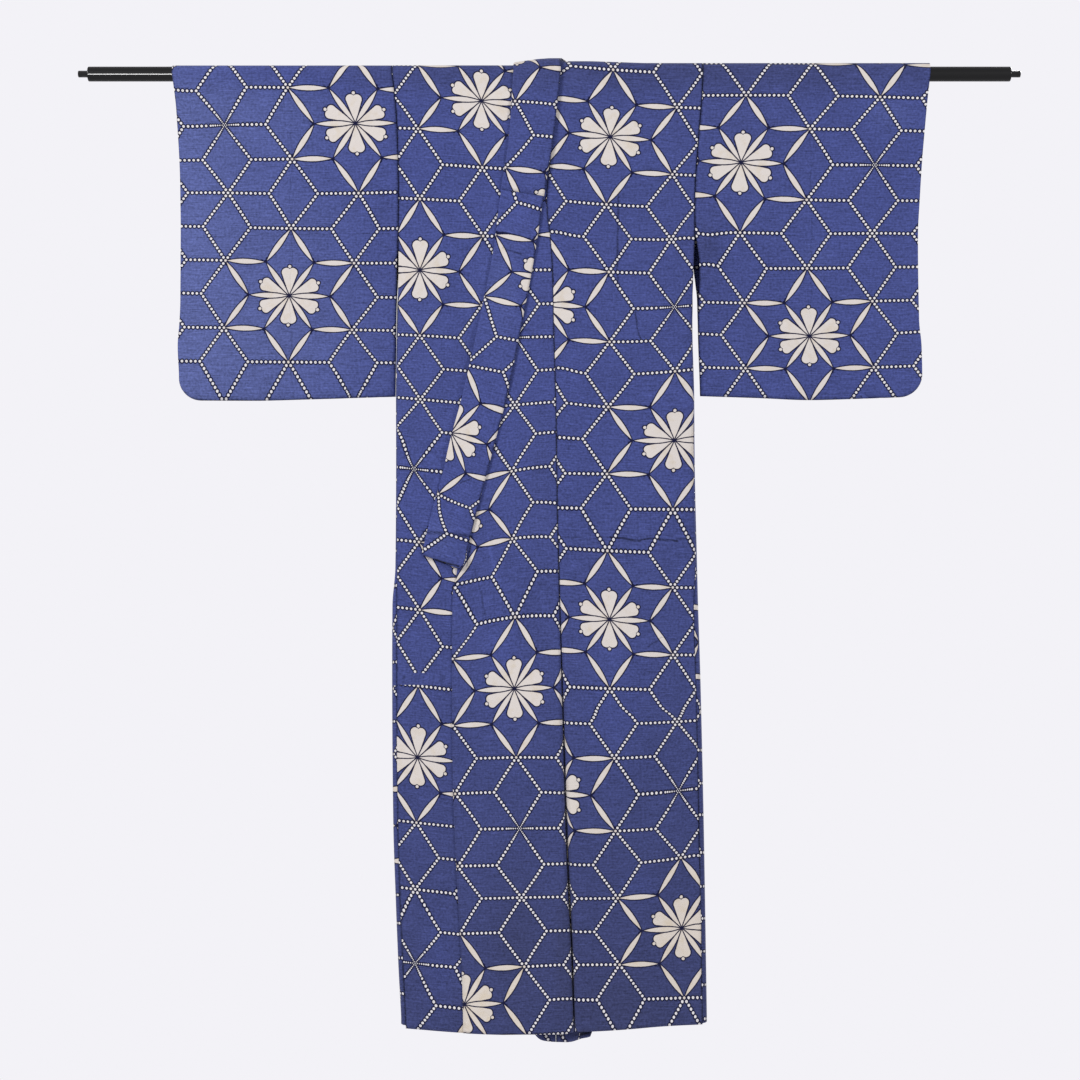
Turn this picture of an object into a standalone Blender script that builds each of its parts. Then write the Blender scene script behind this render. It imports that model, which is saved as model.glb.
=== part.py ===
"""Summer kimono hanging on a rod.

The garment is cut from narrow lengths of cloth: two body lengths, two overlap strips (okumi), two
sleeves, a collar and an over-collar. It hangs closed, the wearer's left front over the right, on a
round rod through both sleeves. Each piece is the sheet that runs through the middle of its cloth,
worked out from the tables below, and a Solidify modifier gives it its thickness.

Frame: the origin is on the rod's axis at mid-length, +Z is up and the front faces -Y. The wearer's
left is at +X. Lengths are in millimetres and become metres where a mesh is made. "Depth" is the
distance in front of the rod's axis, so y = -depth.
"""

import math

import bpy
import numpy as np

MM = 0.001

# Cloth thicknesses and gaps
WALL = 1.2
BAND = 2.4
OVERLAY = 1.0
SEAM = 0.4
AIR = 0.5
OVERLAY_GAP = 0.45
OKUMI_PARTING = 0.3
FOLD_PARTING = 0.6

# Rod
ROD_RADIUS = 11.0
ROD_LENGTH = 1387.5
PIN_RADIUS = 5.0
PIN_LENGTH = 15.0
ROD_SIDES = 32

# How far one layer's middle lies in front of the next
LAYER_STEP = WALL + 0.7
BAND_STEP = WALL / 2 + AIR + BAND / 2
OVERLAY_STEP = BAND / 2 + OVERLAY_GAP + OVERLAY / 2
COVERED_BAND_STEP = BAND_STEP + OVERLAY_STEP + OVERLAY / 2 + AIR + WALL / 2 + 0.3
BARE_BAND_STEP = BAND_STEP + BAND / 2 + AIR + WALL / 2 + 0.4

# The cloth goes over the rod in straight steps of 30 degrees, whose middles still clear it
ROD_ANGLES = (30, 60, 90, 120, 150)
ROD_CLOTH_RADIUS = (ROD_RADIUS + 0.3 + WALL / 2) / math.cos(math.radians(ROD_ANGLES[0] / 2))
LEFT_SHOULDER_HEIGHT = 16.0

CENTRE_X = 0.75
HALF_WIDTH = 235.0

# Height z of each row, then the x of the garment's silhouette there, on the wearer's right and left
SILHOUETTE = (
    # z, right, left
    (0, -236.0, 230.5),
    (-30, -232.5, 229.3),
    (-70, -229.0, 226.3),
    (-122, -227.2, 222.0),
    (-180, -226.2, 218.5),
    (-270, -227.0, 218.0),
    (-375, -229.0, 215.0),
    (-490, -230.5, 216.0),
    (-565, -230.3, 216.3),
    (-740, -231.3, 221.2),
    (-800, -235.8, 223.6),
    (-885, -236.2, 226.4),
    (-970, -236.0, 228.6),
    (-1125, -234.5, 232.0),
    (-1250, -230.5, 234.2),
    (-1340, -226.8, 235.6),
    (-1430, -222.6, 236.8),
)

# The wearer's left collar, which lies on top: its free edge and the edge sewn to the left front
COLLAR_EDGES = (
    # z, free, sewn
    (0, -52.0, 17.0),
    (-100, -60.0, 6.0),
    (-190, -75.5, -9.0),
    (-270, -88.0, -21.0),
    (-370, -107.8, -39.5),
    (-440, -122.0, -53.5),
    (-495, -135.0, -65.5),
    (-550, -151.0, -80.0),
    (-600, -162.0, -93.0),
    (-655, -176.0, -107.5),
    (-722, -190.0, -124.5),
)
COLLAR_TILT = 7.0
COLLAR_TILTS_OVER = 60.0
COLLAR_END_DROP = (0, 4.8, 9.5, 13.8, 0)
UNDERLAP = 15.0

# The seam between okumi and front, with the half-width and depth of the fold that opens along it
OKUMI_SEAM = (
    # z, x, half-width of the fold, depth of the fold
    (0, 8.0, 0.7, 0.0),
    (-110, 4.8, 0.7, 0.0),
    (-190, 3.2, 0.7, 0.2),
    (-255, 3.0, 0.7, 1.2),
    (-340, 4.8, 0.7, 1.2),
    (-418, 7.5, 0.7, 1.2),
    (-502, 9.8, 0.7, 1.2),
    (-667, 12.2, 0.8, 1.4),
    (-740, 14.2, 0.9, 1.8),
    (-830, 16.6, 1.7, 4.0),
    (-960, 20.5, 4.2, 9.0),
    (-1130, 25.5, 5.0, 12.0),
    (-1230, 29.5, 4.2, 12.0),
    (-1300, 33.0, 2.4, 10.0),
    (-1440, 37.6, 1.9, 9.0),
)

# The okumi's front edge, below where the collar covers it
OKUMI_EDGE = (
    # z, x
    (-700, -134.0),
    (-735, -137.0),
    (-761, -140.0),
    (-780, -144.6),
    (-850, -145.8),
    (-990, -145.5),
    (-1080, -144.0),
    (-1180, -139.8),
    (-1283, -134.3),
    (-1361, -130.2),
    (-1440, -128.4),
)
OKUMI_TOP = -112.0
OKUMI_FLAT_SHARE = 0.7

# Depths of the layers, from the rod to the hem
FRONT_DEPTH = (
    # z, under front at the side seam, how much more it bellies at the centre
    (0, ROD_CLOTH_RADIUS, 0.0),
    (-120, 12.0, 1.2),
    (-250, 12.0, 2.5),
    (-450, 13.0, 4.0),
    (-800, 13.5, 6.0),
    (-1440, 13.5, 10.0),
)
TOP_LIFT = (
    # z, lift of the top front over the under front at the okumi seam, the same at the side seam
    (0, COVERED_BAND_STEP, 0.7),
    (-200, COVERED_BAND_STEP, 0.7),
    (-250, BARE_BAND_STEP, 0.7),
    (-500, BARE_BAND_STEP, 2.0),
    (-750, BARE_BAND_STEP, 4.0),
    (-850, 8.0, 1.5),
    (-1000, 12.5, 0.8),
    (-1200, 15.2, 0.5),
    (-1440, 15.5, 0.5),
)
TOP_LIFT_SPAN = (
    # z, x where the lift starts at the viewer's left, is full, stays full and has run out
    (0, -65.0, -20.0, 62.0, 230.0),
    (-200, -65.0, -20.0, 100.0, 220.0),
    (-500, -72.0, -18.0, 160.0, 217.0),
    (-735, -75.0, -15.0, 205.0, 222.0),
    (-850, -140.0, 12.0, 60.0, 226.0),
    (-1440, -130.0, 34.0, 48.0, 237.0),
)
BACK_DEPTH = 14.0

# The back's inner edge starts beside the neck and reaches the spine this far down
NECK_EDGE_X = 8.0
BACK_SETTLES = 90.0

# The side, rounded where front and back are sewn together
SIDE_ROUND = (
    # z, radius across, how far round the seam lies from the silhouette towards the front, 0 to 1
    (0, 0.6, 0.0),
    (-240, 0.6, 0.0),
    (-400, 6.0, 0.45),
    (-700, 7.0, 0.5),
    (-820, 8.5, 0.92),
    (-1440, 8.5, 0.92),
)
SIDE_OPEN = ((0, 1.0), (-245, 1.0), (-400, 0.0), (-1440, 0.0))
SIDE_STEPS = 8

# The fold that the back's spare width forms, from the neck to the hem
BACK_FOLD = (
    # z, height of the fold, x of the spine seam
    (0, 0.0, CENTRE_X),
    (-112, 0.0, CENTRE_X),
    (-300, 3.5, 1.0),
    (-700, 12.0, 3.5),
    (-1100, 21.0, 7.0),
    (-1455, 30.0, 10.0),
)
BACK_FOLD_PROFILE = (
    # offset from the spine at the hem, share of the height
    (-47, 0.0),
    (-40, 0.06),
    (-24, 0.88),
    (-18, 1.0),
    (0, 1.0),
    (18, 1.0),
    (25, 0.88),
    (46, 0.12),
    (56, 0.0),
)

FRONT_HEM = (
    # x, z
    (-240, -1429.5),
    (-193, -1431.0),
    (-164, -1436.0),
    (-107, -1440.0),
    (-76, -1440.5),
    (-37, -1438.0),
    (19, -1436.5),
    (40, -1434.0),
    (96, -1433.0),
    (184, -1428.5),
    (240, -1426.4),
)
BACK_HEM = (
    # x, z
    (-240, -1428.0),
    (-60, -1430.0),
    (-36, -1436.0),
    (-12, -1450.0),
    (10, -1453.0),
    (30, -1452.0),
    (62, -1443.0),
    (80, -1430.0),
    (240, -1425.0),
)

# Where the hem rows read their sections, and how far the hidden front's hem is held up
FRONT_HEM_Z = -1432.0
BACK_HEM_Z = -1440.0
UNDER_HEM_LIFT = 3.0

# Rows of the sheets, by height
FRONT_ROWS = (
    0, -20, -50, -80, -112, -150, -185, -220, -255, -300, -345, -400, -455, -510, -565, -620, -675,
    -730, -775, -830, -895, -960, -1045, -1130, -1180, -1230, -1290, -1350, -1400,
)
BACK_ROWS = (
    0, -20, -50, -90, -135, -190, -245, -320, -400, -480, -570, -660, -740, -800, -880, -970, -1070,
    -1170, -1270, -1360, -1410,
)
BAND_ROWS = (
    -722, -690, -640, -590, -540, -490, -440, -395, -345, -295, -245, -212, -178, -145, -110, -70,
    -35, 0,
)
BAND_COLUMNS = (0, 0.25, 0.5, 0.75, 1)
OVERLAY_END = -178

# Lengths from the side and from the inner edge that hold a body section's close columns
FRONT_EDGES = (14.0, 24.0)
BACK_EDGES = (36.0, 92.0)
SECTION_STEPS = 30

# How much of the top front's lift reaches each column of the collar, near the neck and lower down
NECK_LIFT_SHARES = (0, 0.4, 0.8, 1, 1)
LOW_LIFT_SHARES = (0, 0, 0.3, 1, 1)
LIFT_SHARES_CHANGE = -90.0
LIFT_SHARES_CHANGE_OVER = 60.0

# Back of the neck
NECK_DROP = 30.0
NECK_GAP = 5.0
NECK_STEPS = 12
SHOULDER_SHIFT = (
    # angle round the rod, share of the collar's sideways shift to the back, share of its lift
    (0, 0.0, 0.0),
    (30, 0.0, 0.0),
    (60, 0.0, 0.0),
    (90, 0.04, 0.15),
    (120, 0.2, 0.8),
    (150, 0.45, 1.0),
    (180, 0.7, 1.0),
)
NECK_ENTRY = ((-15, 0.9),)

# Sleeves: the outer edge, by height
RIGHT_SLEEVE_EDGE = (
    # z, x
    (0, -564.0),
    (-59, -557.3),
    (-173, -552.0),
    (-340, -552.0),
    (-371, -553.2),
    (-409, -556.5),
    (-460, -554.3),
    (-500, -554.3),
)
LEFT_SLEEVE_EDGE = (
    # z, x
    (0, 570.8),
    (-37, 566.3),
    (-74, 562.7),
    (-136, 557.7),
    (-185, 555.2),
    (-248, 552.9),
    (-371, 554.0),
    (-409, 556.5),
    (-450, 558.8),
    (-500, 558.8),
)
# The sleeves' inner edge stands off the body's silhouette below the armhole
RIGHT_SLEEVE_GAP = ((0, SEAM), (-245, SEAM), (-300, 1.6), (-370, 0.9), (-500, 0.8))
LEFT_SLEEVE_GAP = ((0, SEAM), (-235, SEAM), (-340, 4.5), (-500, 8.6))
RIGHT_SLEEVE_BOTTOM = ((-554, -491.0), (-443, -491.5), (-361, -489.5), (-232, -485.5))
LEFT_SLEEVE_BOTTOM = ((224, -484.5), (315, -487.5), (392, -490.5), (454, -489.0), (559, -485.0))
SLEEVE_LOW_Z = -480.0
SLEEVE_CORNER = 33.0
CORNER_STEPS = 5
SLEEVE_COLUMNS = 8
SLEEVE_CLOSES = 60.0
SLEEVE_SEAM_DEPTH = 1.5
SLEEVE_SEAM_RISE = 2.0
SLEEVE_DEPTH = ((0, 1.0), (-250, 0.96), (-330, 0.72), (-420, 0.34), (-495, 0.10))
CUFF_DEPTH = ((0, 1.0), (-80, 0.85), (-170, 0.5), (-235, 0.12), (-500, 0.09))
CUFF_REACH = 60.0
SLEEVE_ROWS = (0.05, 0.13, 0.24, 0.36, 0.48, 0.6, 0.72, 0.84, 0.94)


def clamp(value, low=0.0, high=1.0):
    return max(low, min(high, value))


def smooth(value):
    value = clamp(value)
    return value * value * (3 - 2 * value)


def mix(a, b, share):
    return a + (b - a) * share


def at(table, key, column=1):
    """A table's column at this key, on a smooth curve through its rows."""
    rows = sorted(table)
    keys = [row[0] for row in rows]
    values = [row[column] for row in rows]
    if key <= keys[0]:
        return values[0]
    if key >= keys[-1]:
        return values[-1]
    i = int(np.searchsorted(keys, key, side="right")) - 1
    slopes = [(values[j + 1] - values[j]) / (keys[j + 1] - keys[j]) for j in range(len(keys) - 1)]

    def tangent(j):
        if j == 0 or j == len(keys) - 1 or slopes[j - 1] * slopes[j] <= 0:
            return 0.0 if 0 < j < len(keys) - 1 else slopes[min(j, len(slopes) - 1)]
        return 2 * slopes[j - 1] * slopes[j] / (slopes[j - 1] + slopes[j])

    span = keys[i + 1] - keys[i]
    t = (key - keys[i]) / span
    return (
        values[i] * (1 + 2 * t) * (1 - t) ** 2
        + tangent(i) * span * t * (1 - t) ** 2
        + values[i + 1] * t * t * (3 - 2 * t)
        - tangent(i + 1) * span * t * t * (1 - t)
    )


def mirrored(x):
    return 2 * CENTRE_X - x


# Depths of the hanging layers


def under_depth(x, z):
    """Middle of the wearer's right front, the under layer."""
    across = clamp((x - CENTRE_X) / HALF_WIDTH, -1, 1)
    return at(FRONT_DEPTH, z) + at(FRONT_DEPTH, z, 2) * math.cos(across * math.pi / 2)


def top_lift(x, z):
    starts, full, holds, ends = (at(TOP_LIFT_SPAN, z, column) for column in (1, 2, 3, 4))
    centre = at(TOP_LIFT, z)
    if x < full:
        return mix(LAYER_STEP, centre, clamp((x - starts) / (full - starts)))
    return mix(centre, at(TOP_LIFT, z, 2), clamp((x - holds) / (ends - holds)))


def top_depth(x, z):
    """Middle of the wearer's left front and okumi, the top layer."""
    return under_depth(x, z) + top_lift(x, z)


def back_depth(x, z, left):
    """How far behind the rod's axis the back hangs, without its fold."""
    near_rod = rod_radius_at(x, left)
    return mix(near_rod, BACK_DEPTH, clamp(-z / BACK_SETTLES))


# Sections of the body at one height, as lists of (x, depth)


def side_arc(z, left, front):
    """The rounded side from the side seam to where the front or the back runs flat."""
    outer = at(SILHOUETTE, z, 2 if left else 1)
    inward = -1 if left else 1
    across = at(SIDE_ROUND, z)
    front_reach = (top_depth if left else under_depth)(outer, z)
    back_reach = back_depth(outer, z, left)
    flat_angle = 90.0 if front else -90.0
    seam_angle = mix(90 * at(SIDE_ROUND, z, 2), flat_angle, at(SIDE_OPEN, z))
    points = []
    for step in range(SIDE_STEPS + 1):
        angle = math.radians(mix(seam_angle, flat_angle, step / SIDE_STEPS))
        reach = front_reach if angle >= 0 else back_reach
        x = outer + inward * across * (1 - math.cos(angle))
        points.append((x, reach * math.sin(angle)))
    return points


def seam_shift(points):
    """The section with its sewn edge moved back along its own line by the seam's gap."""
    (x0, depth0), (x1, depth1) = points[0], points[1]
    length = math.hypot(x1 - x0, depth1 - depth0)
    if length < SEAM:
        return points
    share = SEAM / length
    return [(mix(x0, x1, share), mix(depth0, depth1, share))] + points[1:]


def front_section(z, left):
    """A front at this height, from its side seam to its inner edge."""
    depth_at = top_depth if left else under_depth
    arc = seam_shift(side_arc(z, left, True))
    start = arc[-1][0]
    if left:
        curl = okumi_fold(z, 1)
    else:
        inner = mirrored(at(OKUMI_SEAM, z)) - SEAM / 2
        curl = [(inner, depth_at(inner, z))]
    flat = [mix(start, curl[0][0], i / SECTION_STEPS) for i in range(1, SECTION_STEPS)]
    return arc + [(x, depth_at(x, z)) for x in flat] + curl


def okumi_fold(z, side):
    """The edge that turns back into the fold along the okumi seam, ending at the seam."""
    seam_x, half_width, fold = (at(OKUMI_SEAM, z, column) for column in (1, 2, 3))
    parting = OKUMI_PARTING + FOLD_PARTING * clamp(fold / 3)
    profile = (
        (2 * half_width + 4, 0.0),
        (half_width + 1.0, 0.12),
        (0.45 * half_width, 0.5),
        (0.0, 1.0),
    )
    points = []
    for offset, share in profile:
        x = seam_x + side * (offset + parting)
        points.append((x, top_depth(x, z) - fold * share))
    return points


def back_section(z, left):
    """A back at this height, from its side seam to the spine."""
    points = side_arc(z, left, False)
    start = points[-1][0]
    spine = at(BACK_FOLD, z, 2)
    neck = clamp(1 + z / BACK_SETTLES) * (NECK_EDGE_X - CENTRE_X)
    inner = spine + (SEAM / 2 + neck) * (1 if left else -1)
    for i in range(1, SECTION_STEPS + 1):
        x = mix(start, inner, i / SECTION_STEPS)
        lift = at(BACK_FOLD, z) * at(BACK_FOLD_PROFILE, x - spine)
        points.append((x, lift - back_depth(x, z, left)))
    return points


def resampled(points, side_length, inner_length):
    """The section at fixed columns: three by the side, four in the middle, six by the inner edge."""
    line = np.array(points)
    steps = np.hypot(*np.diff(line, axis=0).T)
    run = np.concatenate([[0], np.cumsum(steps)])
    total = run[-1]
    places = [side_length * i / 3 for i in range(3)]
    places += [mix(side_length, total - inner_length, i / 4) for i in range(4)]
    places += [total - inner_length * (1 - i / 5) for i in range(6)]
    return [(np.interp(p, run, line[:, 0]), np.interp(p, run, line[:, 1])) for p in places]


# Sheets: grids of (x, y, z), row by row


def body_sheet(left):
    """One body length, from the front hem over the rod to the back hem."""
    hem = resampled(front_section(FRONT_HEM_Z, left), *FRONT_EDGES)
    rows = [[(x, -depth, at(FRONT_HEM, x)) for x, depth in hem]]
    for z in reversed(FRONT_ROWS):
        section = resampled(front_section(z, left), *FRONT_EDGES)
        rows.append([(x, -depth, z) for x, depth in section])
    shoulder = [(x, 0.0) for x, _ in front_section(0, left)]
    for angle in ROD_ANGLES:
        edges = [mix(a, b, angle / 180) for a, b in zip(FRONT_EDGES, BACK_EDGES)]
        turn = math.radians(angle)
        row = []
        for x, _ in resampled(shoulder, *edges):
            depth, height = rod_radius_at(x, left), rod_height_at(x, left)
            row.append((x, -depth * math.cos(turn), height * math.sin(turn)))
        rows.append(row)
    for z in BACK_ROWS:
        section = resampled(back_section(z, left), *BACK_EDGES)
        rows.append([(x, -depth, z) for x, depth in section])
    hem = resampled(back_section(BACK_HEM_Z, left), *BACK_EDGES)
    rows.append([(x, -depth, at(BACK_HEM, x)) for x, depth in hem])
    return rows


def rod_radius_at(x, left):
    return top_depth(max(x, NECK_EDGE_X), 0) if left else ROD_CLOTH_RADIUS


def rod_height_at(x, left):
    """The left shoulder rides a few millimetres above the rod."""
    return max(rod_radius_at(x, left), LEFT_SHOULDER_HEIGHT) if left else ROD_CLOTH_RADIUS + 0.2


def okumi_left_sheet():
    rows = []
    for z in okumi_rows():
        edge = okumi_edge(z)
        curl = okumi_fold(z, -1)
        start = min(curl[0][0], mix(edge, at(OKUMI_SEAM, z), OKUMI_FLAT_SHARE))
        curl[0] = (start, top_depth(start, z))
        flat = [mix(edge, start, i / 4) for i in range(4)]
        section = [(x, top_depth(x, z)) for x in flat] + curl
        rows.append([(x, -depth, z) for x, depth in section])
    rows[0] = [(x, y, at(FRONT_HEM, x)) for x, y, _ in rows[0]]
    return rows


def okumi_right_sheet():
    rows = []
    for z in okumi_rows():
        seam_x = mirrored(at(OKUMI_SEAM, z)) + SEAM / 2
        edge = mirrored(okumi_edge(z))
        xs = [mix(seam_x, edge, i / 4) for i in range(5)]
        rows.append([(x, -under_depth(x, z), z) for x in xs])
    rows[0] = [(x, y, at(FRONT_HEM, x) + UNDER_HEM_LIFT) for x, y, _ in rows[0]]
    return rows


def okumi_rows():
    return (FRONT_HEM_Z,) + tuple(z for z in reversed(FRONT_ROWS) if z <= OKUMI_TOP)


def okumi_edge(z):
    """The front edge of an okumi, which runs hidden under the collar down to its end."""
    if z > OKUMI_EDGE[0][0]:
        return at(COLLAR_EDGES, z, 2) - UNDERLAP
    return at(OKUMI_EDGE, z)


def sleeve_sheet(left):
    """A sleeve as rings round the rod, one for each column from the inner edge to the cuff."""
    edge = LEFT_SLEEVE_EDGE if left else RIGHT_SLEEVE_EDGE
    gap = LEFT_SLEEVE_GAP if left else RIGHT_SLEEVE_GAP
    bottom = LEFT_SLEEVE_BOTTOM if left else RIGHT_SLEEVE_BOTTOM
    outward = 1 if left else -1
    body_column = 2 if left else 1
    radius = rod_radius_at(at(SILHOUETTE, 0, body_column), left)
    height = LEFT_SHOULDER_HEIGHT if left else ROD_CLOTH_RADIUS

    def x_at(share, z):
        inner = at(SILHOUETTE, z, body_column) + outward * at(gap, z)
        return mix(inner, at(edge, z), share)

    def depth_at(share, z, lowest):
        near_cuff = 1 - smooth(abs(at(edge, z) - x_at(share, z)) / CUFF_REACH)
        arm = at(SLEEVE_DEPTH, z)
        hang = radius * mix(arm, min(arm, at(CUFF_DEPTH, z)), near_cuff)
        closing = mix(SLEEVE_SEAM_DEPTH, radius, clamp((z - lowest) / SLEEVE_CLOSES))
        return max(SLEEVE_SEAM_DEPTH, min(hang, closing))

    width = abs(x_at(1, SLEEVE_LOW_Z) - x_at(0, SLEEVE_LOW_Z))
    rings = []
    for share, rise in sleeve_columns(width):
        lowest = at(bottom, x_at(share, SLEEVE_LOW_Z)) + rise
        heights = [lowest * part for part in SLEEVE_ROWS]
        ring = [(x_at(share, z), -depth_at(share, z, lowest), z) for z in reversed(heights)]
        for angle in (0,) + ROD_ANGLES + (180,):
            turn = math.radians(angle)
            ring.append((x_at(share, 0), -radius * math.cos(turn), height * math.sin(turn)))
        ring += [(x_at(share, z), depth_at(share, z, lowest), z) for z in heights]
        low_x = x_at(share, lowest)
        ring.append((low_x, SLEEVE_SEAM_DEPTH, lowest + SLEEVE_SEAM_RISE))
        ring.append((low_x, 0.0, lowest))
        ring.append((low_x, -SLEEVE_SEAM_DEPTH, lowest + SLEEVE_SEAM_RISE))
        rings.append(ring)
    return rings


def sleeve_columns(width):
    """Each column's share of the way to the cuff, and how far the round corner lifts its bottom."""
    flat_end = 1 - SLEEVE_CORNER / width
    columns = [(flat_end * i / SLEEVE_COLUMNS, 0.0) for i in range(SLEEVE_COLUMNS)]
    for i in range(CORNER_STEPS + 1):
        turn = math.radians(90 * i / CORNER_STEPS)
        share = flat_end + (1 - flat_end) * math.sin(turn)
        columns.append((share, SLEEVE_CORNER * (1 - math.cos(turn))))
    return columns


# The collar: rows of points from the free edge to the sewn edge


def band_front_row(z, left):
    """One row of the collar in front, at this height of its free edge."""
    tilt = COLLAR_TILT * smooth(-z / COLLAR_TILTS_OVER)
    row = []
    for column, u in enumerate(BAND_COLUMNS):
        row_z = z - tilt * u
        if z == BAND_ROWS[0]:
            row_z -= COLLAR_END_DROP[column]
        free, sewn = at(COLLAR_EDGES, row_z), at(COLLAR_EDGES, row_z, 2)
        x = mix(free, sewn, u)
        if left:
            lower = smooth((LIFT_SHARES_CHANGE - z) / LIFT_SHARES_CHANGE_OVER)
            lifted = mix(NECK_LIFT_SHARES[column], LOW_LIFT_SHARES[column], lower)
            depth = under_depth(x, row_z) + top_lift(sewn, row_z) * lifted
        else:
            x = mirrored(x)
            depth = under_depth(x, row_z)
        row.append((x, -(depth + BAND_STEP), row_z))
    return row


def band_rod_row(angle, left):
    """One row of the collar where it passes over the rod and leans towards the neck's middle."""
    front = band_front_row(0, left)
    shift = at(SHOULDER_SHIFT, angle) * neck_shift()
    lift = at(SHOULDER_SHIFT, angle, 2)
    turn = math.radians(angle)
    row = []
    for x, y, _ in front:
        radius = mix(-y, back_depth(NECK_EDGE_X, 0, left) + BAND_STEP, lift)
        x += shift if left else -shift
        row.append((x, -radius * math.cos(turn), radius * math.sin(turn)))
    return row


def neck_shift():
    return CENTRE_X + NECK_GAP - at(COLLAR_EDGES, 0)


def band_neck_row(turn, z=-NECK_DROP, share=1.0):
    """One row of the collar round the back of the neck, at this turn from the left leg."""
    width = at(COLLAR_EDGES, 0, 2) - at(COLLAR_EDGES, 0)
    centre = CENTRE_X - (1 - share) * neck_shift() * math.cos(turn)
    row = []
    for u in BAND_COLUMNS:
        radius = NECK_GAP + width * u
        height = z - radius * math.sin(turn)
        sides = (turn < math.pi / 2,) if z > -NECK_DROP else (True, False)
        depth = max(back_depth(NECK_EDGE_X, height, left) for left in sides) + BAND_STEP
        row.append((centre + radius * math.cos(turn), depth, height))
    return row


def band_sheet():
    """The whole collar, from the left front's end round the neck to the right front's end."""
    rows = [band_front_row(z, True) for z in BAND_ROWS]
    rows += [band_rod_row(angle, True) for angle in ROD_ANGLES + (180,)]
    rows += [band_neck_row(0.0, z, share) for z, share in NECK_ENTRY]
    rows += [band_neck_row(math.pi * i / NECK_STEPS) for i in range(NECK_STEPS + 1)]
    rows += [band_neck_row(math.pi, z, share) for z, share in NECK_ENTRY]
    rows += [band_rod_row(angle, False) for angle in reversed(ROD_ANGLES + (180,))]
    rows += [band_front_row(z, False) for z in reversed(BAND_ROWS)]
    return rows


def overlay_sheet():
    """The over-collar: the part of the collar near the neck, moved out by its own thickness."""
    rows = moved_out(band_sheet(), -OVERLAY_STEP)
    first = BAND_ROWS.index(OVERLAY_END)
    return rows[first : len(rows) - first]


def moved_out(rows, distance):
    """The sheet moved along its own normals."""
    grid = np.array(rows)
    along, across = np.gradient(grid, axis=0), np.gradient(grid, axis=1)
    normals = np.cross(along, across)
    normals /= np.linalg.norm(normals, axis=2, keepdims=True)
    return (grid + normals * distance).tolist()


# Objects


def material(name, colour, roughness, metallic=0.0):
    made = bpy.data.materials.new(name)
    made.use_nodes = True
    shader = made.node_tree.nodes["Principled BSDF"]
    shader.inputs["Base Color"].default_value = (*colour, 1.0)
    shader.inputs["Roughness"].default_value = roughness
    shader.inputs["Metallic"].default_value = metallic
    return made


def add_object(name, mesh, surface):
    mesh.materials.append(surface)
    mesh.shade_smooth()
    obj = bpy.data.objects.new(name, mesh)
    bpy.context.scene.collection.objects.link(obj)
    return obj


def add_sheet(name, rows, thickness, surface, ring=False):
    """A cloth object from a grid of points, closed into rings where the cloth is a tube."""
    count = len(rows[0])
    points = [tuple(value * MM for value in point) for row in rows for point in row]
    faces = []
    for i in range(len(rows) - 1):
        for j in range(count if ring else count - 1):
            k = (j + 1) % count
            faces.append((i * count + j, i * count + k, (i + 1) * count + k, (i + 1) * count + j))
    mesh = bpy.data.meshes.new(name)
    mesh.from_pydata(points, [], faces)
    mesh.update()
    obj = add_object(name, mesh, surface)
    split = obj.modifiers.new("Triangulate", "TRIANGULATE")
    split.quad_method = "FIXED"
    wall = obj.modifiers.new("Solidify", "SOLIDIFY")
    wall.thickness = thickness * MM
    wall.offset = 0.0
    return obj


def add_rod(surface):
    """The rod with a thinner pin at each end, turned about the X axis."""
    half = ROD_LENGTH / 2
    outline = (
        (-half - PIN_LENGTH, PIN_RADIUS),
        (-half, PIN_RADIUS),
        (-half, ROD_RADIUS - 1),
        (-half + 1, ROD_RADIUS),
        (half - 1, ROD_RADIUS),
        (half, ROD_RADIUS - 1),
        (half, PIN_RADIUS),
        (half + PIN_LENGTH, PIN_RADIUS),
    )
    points, faces = [], []
    for x, radius in outline:
        for i in range(ROD_SIDES):
            turn = 2 * math.pi * i / ROD_SIDES
            points.append((x * MM, radius * math.cos(turn) * MM, radius * math.sin(turn) * MM))
    for ring in range(len(outline) - 1):
        for i in range(ROD_SIDES):
            a, b = ring * ROD_SIDES + i, ring * ROD_SIDES + (i + 1) % ROD_SIDES
            faces.append((a, b, b + ROD_SIDES, a + ROD_SIDES))
    last = (len(outline) - 1) * ROD_SIDES
    faces.append(tuple(reversed(range(ROD_SIDES))))
    faces.append(tuple(range(last, last + ROD_SIDES)))
    mesh = bpy.data.meshes.new("rod")
    mesh.from_pydata(points, [], faces)
    mesh.update()
    rod = add_object("rod", mesh, surface)
    mesh.set_sharp_from_angle(angle=math.radians(40))
    return rod


def main():
    for obj in list(bpy.data.objects):
        bpy.data.objects.remove(obj)
    cotton = material("indigo cotton", (0.066, 0.081, 0.24), 0.85)
    black = material("black lacquered steel", (0.012, 0.012, 0.013), 0.35)
    add_rod(black)
    add_sheet("body_right", body_sheet(False), WALL, cotton)
    add_sheet("body_left", body_sheet(True), WALL, cotton)
    add_sheet("okumi_right", okumi_right_sheet(), WALL, cotton)
    add_sheet("okumi_left", okumi_left_sheet(), WALL, cotton)
    add_sheet("sleeve_right", sleeve_sheet(False), WALL, cotton, ring=True)
    add_sheet("sleeve_left", sleeve_sheet(True), WALL, cotton, ring=True)
    add_sheet("collar", band_sheet(), BAND, cotton)
    add_sheet("over_collar", overlay_sheet(), OVERLAY, cotton)


main()
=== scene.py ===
"""A summer kimono hanging closed on a rod: its cloth, its dyed print and its finish.

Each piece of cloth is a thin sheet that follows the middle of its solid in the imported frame, with
finer curves, soft creases and folded edges. Tables are in millimetres, depths are measured forward
from the rod's axis, and everything becomes metres where a mesh is made. The wearer's left is at +X.
"""

import math

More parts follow.
